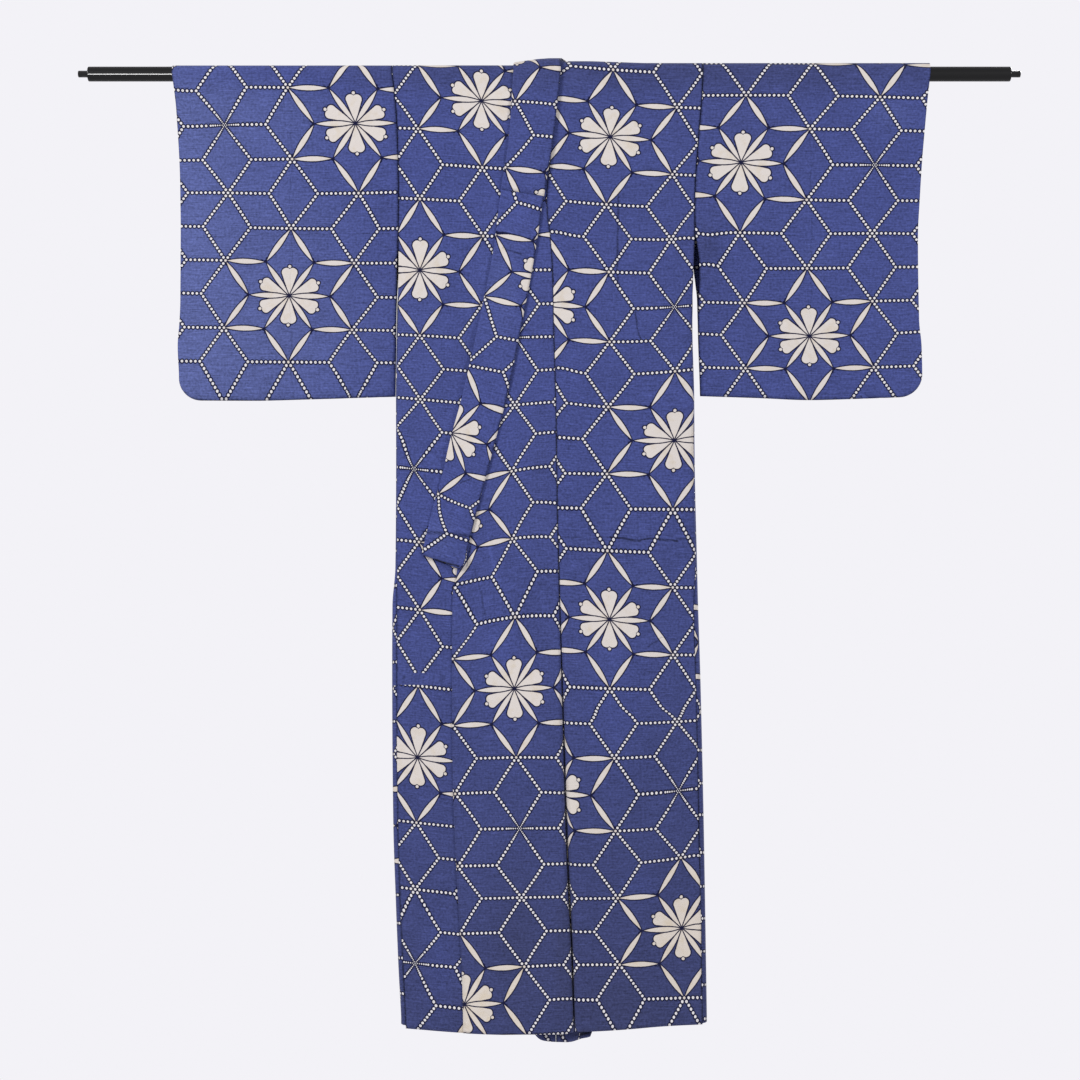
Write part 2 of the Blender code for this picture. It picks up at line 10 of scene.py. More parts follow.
import bpy
import numpy as np
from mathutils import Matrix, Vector


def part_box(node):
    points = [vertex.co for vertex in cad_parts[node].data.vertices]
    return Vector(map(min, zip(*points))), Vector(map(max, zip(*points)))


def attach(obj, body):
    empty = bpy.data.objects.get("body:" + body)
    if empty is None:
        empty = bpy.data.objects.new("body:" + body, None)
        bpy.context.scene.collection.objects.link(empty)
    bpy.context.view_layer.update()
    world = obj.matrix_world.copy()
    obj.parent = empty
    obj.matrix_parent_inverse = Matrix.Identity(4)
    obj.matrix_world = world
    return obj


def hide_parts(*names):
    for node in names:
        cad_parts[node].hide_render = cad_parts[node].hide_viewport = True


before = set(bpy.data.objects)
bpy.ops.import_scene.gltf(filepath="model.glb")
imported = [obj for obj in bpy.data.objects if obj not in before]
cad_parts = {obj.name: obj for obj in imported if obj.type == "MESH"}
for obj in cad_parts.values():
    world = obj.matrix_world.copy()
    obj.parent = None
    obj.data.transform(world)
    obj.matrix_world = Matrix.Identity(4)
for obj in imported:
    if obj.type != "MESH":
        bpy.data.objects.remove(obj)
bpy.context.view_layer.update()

bl_info = {
    "name": "Summer Kimono on a Rod",
    "version": (1, 0, 0),
    "blender": (4, 5, 0),
    "location": "View3D > Sidebar > Kimono",
    "description": "Builds the hanging cloth, its dyed lattice print and its rod",
    "category": "Object",
}

ROD_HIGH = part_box("rod")[1]
MM = 0.001


def linear(code):
    """A hex colour in sRGB as linear red, green and blue, and a full alpha."""
    parts = [int(code[i : i + 2], 16) / 255 for i in (1, 3, 5)]
    return (*(c / 12.92 if c <= 0.04045 else ((c + 0.055) / 1.055) ** 2.4 for c in parts), 1.0)


# Room that the solids leave for a sheet, for the folded collar, for the over-collar and between them
WALL = 1.2
BAND = 2.4
OVERLAY = 1.0
SEAM = 0.4
AIR = 0.5
OVERLAY_GAP = 0.45
OKUMI_PARTING = 0.3
FOLD_PARTING = 0.6

# From the middle of one layer to the next: sheet to sheet, sheet to collar, collar to over-collar,
# and the right front to the left front over the covered part and the bare part of the collar
LAYER_STEP = WALL + 0.7
BAND_STEP = WALL / 2 + AIR + BAND / 2
OVERLAY_STEP = BAND / 2 + OVERLAY_GAP + OVERLAY / 2
COVERED_BAND_STEP = BAND_STEP + OVERLAY_STEP + OVERLAY / 2 + AIR + WALL / 2 + 0.3
BARE_BAND_STEP = BAND_STEP + BAND / 2 + AIR + WALL / 2 + 0.4
# Cloth over the rod: its radius, drawn in chords, and its height over the left shoulder
ROD_CLOTH_RADIUS = (ROD_HIGH.z / MM + 0.3 + WALL / 2) / math.cos(math.radians(15))
LEFT_SHOULDER_HEIGHT = 16.0

# The garment's middle, half the body's width, and the depth from which the camera stands off
CENTRE_X = 0.75
HALF_WIDTH = 235.0
CLOTH_FRONT = 20.0

# Height z, then the x of the garment's silhouette there, on the wearer's right and left
SILHOUETTE = (
    (0, -236.0, 230.5),
    (-30, -232.5, 229.3),
    (-70, -229.0, 226.3),
    (-122, -227.2, 222.0),
    (-180, -226.2, 218.5),
    (-270, -227.0, 218.0),
    (-375, -229.0, 215.0),
    (-490, -230.5, 217.8),
    (-565, -230.3, 218.2),
    (-740, -231.3, 222.0),
    (-800, -235.8, 223.6),
    (-885, -236.2, 226.4),
    (-970, -236.0, 228.6),
    (-1125, -234.5, 232.0),
    (-1250, -230.5, 234.2),
    (-1340, -226.8, 235.6),
    (-1430, -222.6, 236.8),
)

# The top collar leg: height z, x of its free edge, x of the edge sewn to the left front
COLLAR_EDGES = (
    (0, -52.0, 17.0),
    (-100, -59.0, 6.0),
    (-190, -73.0, -9.0),
    (-270, -83.2, -21.0),
    (-370, -103.6, -39.5),
    (-440, -118.8, -53.5),
    (-495, -131.8, -65.5),
    (-550, -147.0, -80.0),
    (-600, -158.5, -93.0),
    (-655, -173.8, -107.5),
    (-722, -190.0, -124.5),
)
COLLAR_LOW_Z = -722.0
# How much lower the collar's threads run at its sewn edge, and how soon under the rod
COLLAR_TILT = 7.0
COLLAR_TILTS_OVER = 60.0
# The lower end: how far it drops by the share of the way to the sewn edge, how far up that reaches,
# and how far it curls forward at its free and at its sewn edge
COLLAR_END_DROP = (
    (0, 2.0),
    (0.25, 5.5),
    (0.5, 9.8),
    (0.75, 15.3),
    (0.86, 16.0),
    (0.94, 12.0),
    (1, 2.0),
)
COLLAR_END_REACH = 30.0
COLLAR_END_CURL = (1.2, 5.0)
# How far the overlap strip reaches under the collar
UNDERLAP = 15.0

# The okumi seam: height z, x, half-width and depth of the fold that opens along it
OKUMI_SEAM = (
    (0, 8.0, 0.7, 0.0),
    (-110, 3.2, 0.7, 0.0),
    (-150, -1.0, 0.7, 0.1),
    (-182, -4.0, 0.7, 0.2),
    (-212, -3.0, 0.7, 0.6),
    (-236, 0.0, 0.7, 1.0),
    (-269, 3.2, 0.7, 1.2),
    (-305, 5.0, 0.7, 1.2),
    (-385, 6.6, 0.7, 1.2),
    (-418, 7.5, 0.7, 1.2),
    (-502, 9.8, 0.7, 1.2),
    (-667, 12.2, 0.8, 1.4),
    (-740, 14.2, 1.1, 2.8),
    (-785, 15.2, 1.8, 4.4),
    (-830, 16.6, 2.4, 5.8),
    (-960, 20.5, 4.2, 9.0),
    (-1130, 25.5, 5.0, 12.0),
    (-1230, 29.5, 4.2, 12.0),
    (-1300, 33.0, 2.4, 10.0),
    (-1440, 37.6, 1.9, 9.0),
)
# The overlap strip's front edge below the collar: height z, x
OKUMI_EDGE = (
    (-700, -134.0),
    (-735, -137.0),
    (-761, -140.0),
    (-780, -144.6),
    (-850, -145.8),
    (-990, -145.5),
    (-1080, -144.0),
    (-1180, -139.8),
    (-1283, -134.3),
    (-1361, -130.2),
    (-1440, -128.4),
)
OKUMI_TOP = -112.0

# Depths of the hanging layers, by height z
# Under front: depth at the side seam, and how much more it bellies at the centre
FRONT_DEPTH = (
    (0, ROD_CLOTH_RADIUS, 0.0),
    (-120, 12.0, 1.2),
    (-250, 12.0, 2.5),
    (-450, 13.0, 4.0),
    (-800, 13.5, 6.0),
    (-1440, 13.5, 10.0),
)
# Lift of the top front over the under front, at the okumi seam and at the side seam
TOP_LIFT = (
    (0, COVERED_BAND_STEP, 0.7),
    (-200, COVERED_BAND_STEP, 0.7),
    (-250, BARE_BAND_STEP, 0.7),
    (-500, BARE_BAND_STEP, 2.0),
    (-750, BARE_BAND_STEP, 4.0),
    (-850, 8.0, 1.5),
    (-1000, 12.5, 0.8),
    (-1200, 15.2, 0.5),
    (-1440, 15.5, 0.5),
)
# The x where that lift starts at the viewer's left, is full, stays full and has run out
TOP_LIFT_SPAN = (
    (0, -65.0, -20.0, 62.0, 230.0),
    (-200, -65.0, -20.0, 100.0, 220.0),
    (-500, -72.0, -18.0, 160.0, 217.0),
    (-735, -75.0, -15.0, 205.0, 222.0),
    (-850, -140.0, 12.0, 60.0, 226.0),
    (-1440, -130.0, 34.0, 48.0, 237.0),
)
# The back's depth, how far under the rod it has settled there, and the left front's edge on the rod
BACK_DEPTH = 14.0
BACK_SETTLES = 90.0
NECK_EDGE_X = 8.0
# The rounded side: height z, radius across, how far round the seam lies towards the front
SIDE_ROUND = (
    (0, 0.6, 0.0),
    (-240, 0.6, 0.0),
    (-400, 6.0, 0.45),
    (-700, 7.0, 0.5),
    (-820, 8.5, 0.92),
    (-1440, 8.5, 0.92),
)
# The side: 1 where front and back stay apart beside the sleeve, 0 where the side seam joins them
SIDE_OPEN = ((0, 1.0), (-245, 1.0), (-400, 0.0), (-1440, 0.0))
# The back's fold: height z, height of the fold, x of the spine seam
BACK_FOLD = (
    (0, 0.0, CENTRE_X),
    (-112, 0.0, CENTRE_X),
    (-300, 3.5, 1.0),
    (-700, 12.0, 3.5),
    (-1100, 21.0, 7.0),
    (-1455, 30.0, 10.0),
)
# The fold's section: distance from the spine seam, share of the fold's height
BACK_FOLD_PROFILE = (
    (-47, 0.0),
    (-40, 0.06),
    (-24, 0.88),
    (-18, 1.0),
    (0, 1.0),
    (18, 1.0),
    (25, 0.88),
    (46, 0.12),
    (56, 0.0),
)
# The hems: x, z
FRONT_HEM = (
    (-240, -1431.5),
    (-193, -1434.5),
    (-164, -1436.5),
    (-107, -1439.0),
    (-76, -1439.2),
    (-37, -1438.0),
    (19, -1436.5),
    (40, -1433.2),
    (96, -1431.6),
    (184, -1427.6),
    (240, -1426.8),
)
BACK_HEM = (
    (-240, -1428.0),
    (-60, -1430.0),
    (-34, -1437.0),
    (-12, -1450.5),
    (10, -1453.0),
    (30, -1453.4),
    (46, -1452.6),
    (58, -1453.0),
    (64, -1450.5),
    (70, -1430.0),
    (240, -1425.0),
)
# Height where the hems are cut straight, and how far up their unevenness reaches
FRONT_HEM_Z = -1432.0
BACK_HEM_Z = -1440.0
HEM_REACH = 120.0
# How much higher the hidden overlap strip hangs at its hem
UNDER_HEM_LIFT = 3.0
# The collar's loop behind the neck: how far under the rod it turns, and its inner radius
NECK_DROP = 30.0
NECK_GAP = 5.0
# Its rows on the way down into the loop: height z, share of the way in
NECK_ENTRIES = ((-8, 0.82), (-16, 0.91), (-23, 0.97))
# How the collar's legs move together behind the rod: angle, share of the shift, share of the lift
SHOULDER_SHIFT = (
    (0, 0.0, 0.0),
    (60, 0.0, 0.0),
    (90, 0.04, 0.15),
    (120, 0.2, 0.8),
    (150, 0.45, 1.0),
    (180, 0.7, 1.0),
)
# How much of the lift over the right front the collar has across its width, high up and low down
NECK_LIFT_SHARES = ((0, 0.0), (0.25, 0.4), (0.5, 0.8), (0.75, 1.0), (1, 1.0))
LOW_LIFT_SHARES = ((0, 0.0), (0.25, 0.0), (0.5, 0.3), (0.75, 1.0), (1, 1.0))
# Height z where the first starts to give way to the second, and over how far
LIFT_SHARES_CHANGE = -90.0
LIFT_SHARES_CHANGE_OVER = 60.0
# The over-collar's lower end: height z, how much lower at its sewn edge, and over how many rows
OVERLAY_END = -178.0
OVERLAY_END_SLANT = 5.0
OVERLAY_END_ROWS = 3

# The sleeves' outer edges, their gap to the body and their bottoms
RIGHT_SLEEVE_EDGE = (
    (0, -566.0),
    (-59, -559.3),
    (-173, -554.4),
    (-340, -555.0),
    (-371, -556.2),
    (-409, -559.0),
    (-460, -557.0),
    (-500, -557.0),
)
LEFT_SLEEVE_EDGE = (
    (0, 571.6),
    (-37, 567.4),
    (-74, 564.0),
    (-136, 559.2),
    (-185, 556.8),
    (-248, 554.6),
    (-371, 556.4),
    (-409, 560.0),
    (-450, 561.0),
    (-500, 560.5),
)
RIGHT_SLEEVE_GAP = ((0, SEAM), (-245, SEAM), (-300, 1.6), (-370, 0.9), (-500, 0.8))
LEFT_SLEEVE_GAP = (
    (0, SEAM),
    (-235, SEAM),
    (-258, 3.6),
    (-285, 7.4),
    (-330, 9.0),
    (-500, 9.2),
)
RIGHT_SLEEVE_BOTTOM = ((-554, -491.0), (-443, -491.5), (-361, -489.5), (-232, -485.5))
LEFT_SLEEVE_BOTTOM = ((224, -484.5), (315, -487.5), (392, -490.5), (454, -489.0), (559, -485.0))
# How much further down the sleeve's back lies against the body than its front
BACK_CLOSED = 55.0
# Sleeves: height where the width is measured, cloth from rod to bottom, radius of the corner, how
# far above the bottom front and back close, and the least depth there
SLEEVE_LOW_Z = -480.0
SLEEVE_DROP = 485.0
SLEEVE_CORNER = 33.0
SLEEVE_CLOSES = 60.0
SLEEVE_SEAM_DEPTH = 1.5
# The bottom edge is rounded over this height
SLEEVE_ROUNDS = 4.0
# How deep the sleeve hangs as a share of its depth on the rod, and less towards the cuff
SLEEVE_DEPTH = ((0, 1.0), (-250, 0.96), (-330, 0.72), (-420, 0.34), (-495, 0.10))
CUFF_DEPTH = ((0, 1.0), (-80, 0.85), (-170, 0.5), (-235, 0.12), (-500, 0.09))
CUFF_REACH = 60.0

# Columns of a body's sheet near its side, between, and near its inner edge, and how far from those
# two edges the closer columns reach in front and behind
SIDE_COLUMNS, MIDDLE_COLUMNS, INNER_COLUMNS = 8, 32, 17
FRONT_REACH = (14, 24)
BACK_REACH = (36, 92)
# Points of a body's section before that: round the side, along front and back, round the okumi fold
SIDE_POINTS, FRONT_POINTS, BACK_POINTS, FOLD_POINTS = 17, 60, 90, 17
# Columns of the left overlap strip in the fold and beyond it, of the right one, and least width
STRIP_FOLD_COLUMNS, STRIP_COLUMNS, UNDER_STRIP_COLUMNS = 13, 22, 20
LEAST_STRIP = 4.0
# Columns round a sleeve's corner, and rows of the collar round the neck
CORNER_COLUMNS = 15
NECK_ROWS = 37
# Points across the collar, and the one whose thread sets the length of the print behind the rod
BAND_COLUMNS = 17
KEPT_THREAD = 4
# Room left beside the collar's two layers, and how far its outer layer bulges
BAND_SPARE = 0.1
BAND_PLUMP = 0.25
# How much narrower than the front and back hems the other folded edges are
NARROWER = {"front_edge": 4, "cuff": 8, "collar": 4, "over_collar": 9}
# Degrees from row to row where cloth turns over the rod
TURN_STEP = 12

# Broad creases hung into the cloth, forward when positive
# x and z of both ends, half-width, height
FRONT_CREASES = (
    (16, -714, 222, -718, 9.0, 1.0),
    (150, -560, 172, -980, 26.0, 2.0),
    (205, -760, 208, -1400, 20.0, -1.6),
    (-190, -780, -196, -1390, 22.0, 1.5),
    (-150, -900, -152, -1410, 9.0, -1.0),
    (-161, -1270, -164, -1405, 13.0, 1.6),
    (-88, -980, -80, -1420, 24.0, 1.6),
    (95, -1010, 120, -1410, 24.0, 1.7),
    (-175, -60, -188, -420, 26.0, 1.4),
    (170, -70, 178, -330, 20.0, 1.2),
    (92, -150, 90, -360, 11.0, 1.1),
    (112, -150, 112, -360, 9.0, -0.8),
    (60, -250, 44, -640, 20.0, 1.0),
    (-204, -240, -214, -640, 12.0, 1.0),
)
# The under front sinks away beside the collar's free edge
UNDER_CREASES = ((-104, -240, -170, -600, 27.0, -4.5),)
BACK_CREASES = (
    (-140, -560, -165, -1400, 28.0, 2.2),
    (150, -520, 170, -1400, 30.0, 2.4),
    (-205, -800, -212, -1400, 18.0, -1.3),
    (110, -820, 120, -1400, 20.0, -1.4),
    (-80, -120, -110, -480, 26.0, 1.4),
    (90, -120, 116, -500, 26.0, 1.4),
)
SLEEVE_CREASES = (
    (-470, -40, -478, -470, 24.0, 1.5),
    (-300, -230, -296, -480, 20.0, 1.3),
    (470, -40, 480, -470, 24.0, 1.5),
    (300, -230, 296, -480, 20.0, 1.3),
)
# Sharp creases from folding: x and z of both ends, half-width, height, and the side they lie on. The height
# also paints shade into the ground along a crease and a highlight along a ridge
FRONT, BACK = -1, 1
PRESSED = (
    (103, -185, 102, -328, 2.6, -1.1, FRONT),
    (127, -357, 137, -400, 1.9, -1.1, FRONT),
    (24, -698, 92, -700, 2.0, -0.5, FRONT),
    (91, -699, 190, -703, 2.3, -1.5, FRONT),
    (190, -700, 216, -697, 1.8, -0.7, FRONT),
    (34, -693, 214, -695, 1.5, 0.4, FRONT),
    (147, -862, 168, -847, 1.7, -0.8, FRONT),
    (168, -847, 186, -850, 1.7, -0.6, FRONT),
    (40, -1066, 226, -1067, 1.6, 0.4, FRONT),
    (-230, -702, -150, -700, 2.0, -0.4, FRONT),
    (-188, -690, -118, -695, 4.6, -1.1, FRONT),
    # The next three paint the shadow of the collar's lower end on the cloth below it, as well as a crease
    (-188, -726, -178, -730, 1.7, -1.5, FRONT),
    (-178, -730, -156, -735, 1.9, -1.7, FRONT),
    (-156, -735, -136, -741, 2.1, -1.7, FRONT),
    (-116, -702, -126, -740, 2.2, -0.9, FRONT),
    (-186, -683, -120, -688, 2.5, 0.4, FRONT),
    (-132, -617, -117, -610, 1.8, -0.8, FRONT),
    (-68, -264, -44, -274, 2.0, -1.0, FRONT),
    (-112, -735, -96, -812, 2.5, -0.5, FRONT),
    (-92, -700, -70, -790, 6.0, 0.6, FRONT),
    (-386, -70, -388, -470, 2.0, -0.35, FRONT),
    (-545, -246, -240, -243, 2.0, -0.3, FRONT),
    (392, -70, 394, -470, 2.0, -0.35, FRONT),
    (240, -243, 545, -246, 2.0, -0.3, FRONT),
    # Painted shade that darkens the inside of the back hem where it shows below the front, with a crease in
    # its relief
    (44, -1446, 66, -1443, 8.0, -1.6, BACK),
    (-120, -180, -118, -520, 2.4, -0.7, BACK),
    (-215, -700, 215, -704, 2.2, -0.6, BACK),
    (-545, -246, 545, -243, 2.0, -0.3, BACK),
)

# The lattice of the print and its blossoms, as columns and half-rows counted down the cloth
COLUMN = 98.0
HALF_ROW = 52.1
SPOKE = 61.5
PERIOD_COLUMNS = 4
PERIOD_ROWS = 14
# The stencil's repeat as printed: rows 51.3 mm apart, and a wider gap where two printings join
PRINTED_ROW = 51.3
PRINTED_REPEAT = 729.4
JOIN_ROW = -7
BLOSSOMS = ((0, 0), (1, -5), (2, 4))
FINE_STARS = ((0, 6), (2, 0))

# Where the print lies on each piece: x or distance at which the column stands, that column, height
# of row 0 in millimetres down the cloth, direction across and down, width of a column, slope
PRINT = {
    "body_left": (90.0, 1, 350.0, 1, 1, 93.0, 0.03),
    "body_right": (-194.0, 0, 295.0, 1, 1, 93.0, 0.03),
    "okumi_left": (-71.5, 2, 1127.0, 1, -1, 92.0, 0.0),
    "okumi_right": (71.5, 2, 1040.0, 1, 1, 92.0, 0.0),
    "sleeve_right": (-290.7, 0, 73.3, -1, -1, 99.0, 0.0),
    "sleeve_left": (286.5, 0, 132.2, 1, -1, 99.5, 0.03),
    "collar": (3.0, 0, 552.0, 1, 1, 93.0, 0.2),
    "over_collar": (3.0, 0, -61.0, 1, -1, 94.0, 0.1),
}

# How far the hanging cloth is drawn out of straight: the piece's span in x, or across a collar, then
# by height z how far its print is pulled sideways at the span's left and right, and down at its
# left, middle and right
PULLS = {
    "sleeve_right": ((-552, -232), (
        (-28, -1, -4, 0, 1, 4),
        (-103, 4, 1, 8, 5.5, 2.5),
        (-178, 8, 4, 3.5, 6, 4),
        (-253, 6, -3, 1.5, 7, 7.5),
        (-328, 3.5, -4.5, 0, 5, 7.5),
        (-403, 1.5, -8, 0, 2.5, 4.5),
        (-450, 0, -4, -1, 0.5, 1),
    )),
    "sleeve_left": ((232, 555), (
        (-28, 8, 12, 7.5, 3, 2),
        (-103, 3, 4, 3.5, 1, -1),
        (-178, -1.5, 1.5, 2.5, 5, 0),
        (-253, 0, -2.5, 6.5, 4, -3),
        (-328, 8, -4, 9.5, 5, -5),
        (-403, 9.5, 0, 4.5, 3, -9),
        (-450, 10.5, 0, 3.5, 0, -9),
    )),
    "body_left": ((20, 218), (
        (-25, 2, 11, 2, 7.5, 7.5),
        (-100, -2.5, 6.5, 0, 6, 8.5),
        (-212, -7, 0, 0, 4, 2.5),
        (-287, -3, 2, 0.5, 1.5, 0),
        (-362, -4, 6, 2, 4.5, -5),
        (-450, -3, 6.5, 1, 0, -11),
        (-512, -7, 7, -7, -1.5, -9),
        (-587, -8, 5, -3, -4.5, -7),
        (-662, -10, 4, -3, -4, -6),
        (-737, -5, 2.5, -5, -2, -2.5),
        (-812, -2, 3, -5, -2.5, -3),
        (-887, -2, 3, -7, -4, -4.5),
        (-950, -1, 3, -1, -1.5, -3),
        (-966, 3, 9, -1, -2, -8),
        (-1037, 3.5, 12, 0, -2.5, -12),
        (-1112, 4, 13, 4, 3.5, -6),
        (-1187, 8, 16, 4, 1, -12),
        (-1262, 9, 16.5, 2, 0, -8),
        (-1337, 11, 19.5, -1, -2.5, -5),
        (-1400, 14, 21, 0, -1.5, -4),
    )),
    "body_right": ((-232, -20), (
        (-25, -6, 3, -1.5, 0, 1),
        (-62, -4, 2, -5.5, -2.5, 1),
        (-100, -4, 4, -5, -5, -4),
        (-175, -0.5, 1.5, -3.5, -1, 1),
        (-250, 0, 3, 1, -0.5, -1),
        (-310, 0, 0, 2, 2.5, 3),
        (-362, -0.5, 0, 0, 0, 0),
        (-400, 0, 0, -4, -1, 2),
        (-475, 1, 1, -10.5, -5, 0),
        (-520, -1, -1, -15.5, -7, 1.5),
        (-540, -2, -1, -18.5, -10, -1.5),
        (-594, -10, -2, -10.5, -2, 6.5),
        (-655, -1, -1, -15, -7, 2),
        (-737, -1.5, -1.5, -15, -7, 2),
        (-812, 0, 0, -16.5, -8, 0.5),
        (-903, -1, -1, -16.5, -8, 0.5),
        (-912, -2.5, -2.5, -5.5, 3, 11.5),
        (-962, -2, -2, -3.5, 5, 13.5),
        (-1018, -3, -3, -0.5, 8, 16.5),
        (-1075, -4, -4, -2, 6.5, 15),
        (-1150, -5.5, -5.5, -6.5, 2, 10.5),
        (-1225, -7, -5.5, -8, 0.5, 9),
        (-1280, -4, -2, 2, 9, 16),
        (-1385, -14, -1, -2, 6, 14),
    )),
    "okumi_left": ((-140, 20), (
        (-190, 11, 11, 1.5, 1.5, 1.5),
        (-240, 16.5, 16.5, 1, 1, 1),
        (-294, 16, 15.5, 2.5, 2.5, 2.2),
        (-345, 17, 16, 3, 2.5, 1.5),
        (-400, 15, 14, 3, 1, -0.5),
        (-445, 12.5, 11.5, 5, 1, -3),
        (-498, 11, 9.5, 7, 0, -6.5),
        (-541, 8, 6, 6, -5, -12.5),
        (-590, 6, 3, 22, -3.5, -12),
        (-662, 0, 1, 22, -5.5, -6),
        (-758, 3, 5, 12, -4.5, -9),
        (-785, 3, 3, 10, -3, -6.5),
        (-826, 3, 1, 18, -1, -3),
        (-874, -2, -2, 9, 1, -1.5),
        (-970, -6, -3, 6, 2, 0),
        (-1060, -8, -2.5, 5, 1, 2),
        (-1130, -4, -3.5, 7, 4.5, 3),
        (-1195, -8, -3, 11, 7.5, 5),
        (-1250, -10, -3, 8.5, 4.5, 1.5),
        (-1307, -9, -5, 10, 5.5, 1),
        (-1382, -6, -3, 12, 7.5, 0),
    )),
    "collar": ((-3, 66), (
        (-190, -11.5, -11.5, -3.5, -1, 4),
        (-237, -12, -12, -3.5, -1, 3),
        (-243, -3.6, -3.6, 1.5, 1.5, 1.5),
        (-302, -4.2, -4.2, -1, 1, 2.5),
        (-342, -4, -4, -7, -4, -3),
        (-392, -6.4, -6.4, -4, -3, -3),
        (-452, -9.2, -9.2, -4.5, -4.5, -4.5),
        (-495, -8.2, -8.7, -3.5, -2.5, -0.5),
        (-545, -4.3, -7.5, -1.2, 1.8, 5.5),
        (-600, -1.8, -6.8, -8, 1.5, 4),
        (-630, -0.6, -6.6, -11, -1, 3.5),
        (-660, -7.2, -7.2, -11, -4, 1),
        (-697, -11.6, -2.6, -12.9, -6.5, -1),
        (-720, -13.1, -0.6, -12.4, -6.5, -2),
    )),
    "over_collar": ((-3, 66), (
        (-10, 0.9, 0.9, 0.3, 0.3, 0.3),
        (-45, 1.0, 1.3, 3.2, 3.2, 3.8),
        (-93, -1.9, -1.9, 0.5, 0.5, 0.5),
        (-145, -3.8, -2, 0.3, 2.5, 5),
        (-178, -3.9, -2, 0.3, 2.5, 5),
    )),
}
# Smaller pulls: piece, x, z, how far round that place they reach, how far sideways and down
TUGS = (
    ("body_left", 16, -12, 22, -9.0, -2.0),
    ("body_left", 5, -238, 25, 0.0, -5.0),
    ("body_left", 14, -447, 28, 0.0, -7.5),
    ("body_right", -64, -80, 62, -1.0, 5.0),
    ("body_right", -64, 5, 30, -1.5, 6.0),
    ("body_left", 208, -246, 24, 0.0, -4.0),
    ("okumi_left", -100, -690, 32, 7.0, 0.0),
    ("okumi_left", -124, -734, 28, 5.0, 0.0),
    ("sleeve_left", 238, -240, 22, 0.0, 4.5),
    ("sleeve_left", 236, -288, 22, 0.0, -5.0),
    ("sleeve_right", -535, -20, 45, -3.0, 6.0),
)
# Where two printings fail to meet: highest and lowest z of the bare band between them
BARE_BAND = {"body_right": (-901, -914)}

# How light the ground is, from 0 at its darkest to 1 at its lightest: by x and by height z. It is lighter
# towards the wearer's right sleeve, darker towards the hem, and darker over the rod as painted shade
GROUND_LIGHTNESS_ACROSS = (
    (-560, 0.86),
    (-400, 0.66),
    (-240, 0.46),
    (-100, 0.42),
    (100, 0.38),
    (240, 0.37),
    (560, 0.44),
)
SHADE_AND_LIGHTNESS_DOWN = (
    # Darker on the rod and just under it: painted shade where the cloth turns away over the rod
    (25, -0.27),
    (-10, -0.17),
    (-50, 0.0),
    (-480, 0.04),
    (-740, -0.02),
    (-1000, -0.14),
    (-1430, -0.34),
)
# Places lighter or darker than the cloth round them: x, z, reach in x and in z, how much lighter
LIGHTER_AND_DARKER_PATCHES = (
    (-400, -400, 150, 90, 0.11),
    (-400, -150, 150, 40, -0.06),
    # Darker beside the left armhole, where sleeve and body part: painted shade
    (232, -262, 22, 45, -0.18),
    (398, -283, 30, 30, 0.12),
    (510, -60, 40, 30, 0.14),
    (-70, -320, 25, 80, 0.13),
    (-14, -600, 18, 110, -0.08),
    (-70, -880, 25, 60, 0.13),
    (98, -940, 40, 110, 0.14),
    (192, -640, 20, 40, 0.12),
    (136, -1220, 25, 30, 0.12),
    (-164, -1331, 24, 70, 0.14),
    (-50, -1290, 40, 100, -0.10),
    (23, -1310, 14, 80, -0.15),
    (98, -1400, 45, 40, -0.10),
    (-164, -697, 25, 30, 0.14),
)


def clamp(value, low=0.0, high=1.0):
    """The value, kept between low and high."""
    return np.clip(value, low, high)


def smooth(value):
    """Eases from 0 to 1 as the value goes from 0 to 1."""
    value = clamp(value)
    return value * value * (3 - 2 * value)


def mix(a, b, share):
    """A value between a and b, at this share of the way."""
    return a + (b - a) * share


def at(table, key, column=1):
    """A table's column at these keys, on a smooth curve through its rows."""
    rows = np.array(sorted(table), float)
    keys, values = rows[:, 0], rows[:, column]
    slopes = np.diff(values) / np.diff(keys)
    before, after = slopes[:-1], slopes[1:]
    turning = before * after <= 0
    inner = np.where(turning, 0.0, 2 * before * after / np.where(turning, 1.0, before + after))
    tangents = np.concatenate([slopes[:1], inner, slopes[-1:]])
    key = np.clip(key, keys[0], keys[-1])
    i = np.clip(np.searchsorted(keys, key, side="right") - 1, 0, len(slopes) - 1)
    span = keys[i + 1] - keys[i]
    t = (key - keys[i]) / span
    return (
        values[i] * (1 + 2 * t) * (1 - t) ** 2
        + tangents[i] * span * t * (1 - t) ** 2
        + values[i + 1] * t * t * (3 - 2 * t)
        - tangents[i + 1] * span * t * t * (1 - t)
    )


def mirrored(x):
    """The same place on the garment's other side."""
    return 2 * CENTRE_X - x


# Depths of the hanging layers


def under_depth(x, z):
    """Depth of the right front, which lies under the left one."""
    across = clamp((x - CENTRE_X) / HALF_WIDTH, -1, 1)
    return at(FRONT_DEPTH, z) + at(FRONT_DEPTH, z, 2) * np.cos(across * math.pi / 2)


def top_lift(x, z):
    """How far the left front lies above the right one, with the collar's hidden leg between."""
    starts, full, holds, ends = (at(TOP_LIFT_SPAN, z, column) for column in (1, 2, 3, 4))
    centre = at(TOP_LIFT, z)
    rising = mix(LAYER_STEP, centre, clamp((x - starts) / (full - starts)))
    falling = mix(centre, at(TOP_LIFT, z, 2), clamp((x - holds) / (ends - holds)))
    return np.where(x < full, rising, falling)


def top_depth(x, z):
    """Depth of the left front."""
    return under_depth(x, z) + top_lift(x, z)


def rod_radius_at(x, left):
    """Half-depth of the arc in which the cloth passes over the rod."""
    return top_depth(np.maximum(x, NECK_EDGE_X), 0.0) if left else ROD_CLOTH_RADIUS + 0 * x


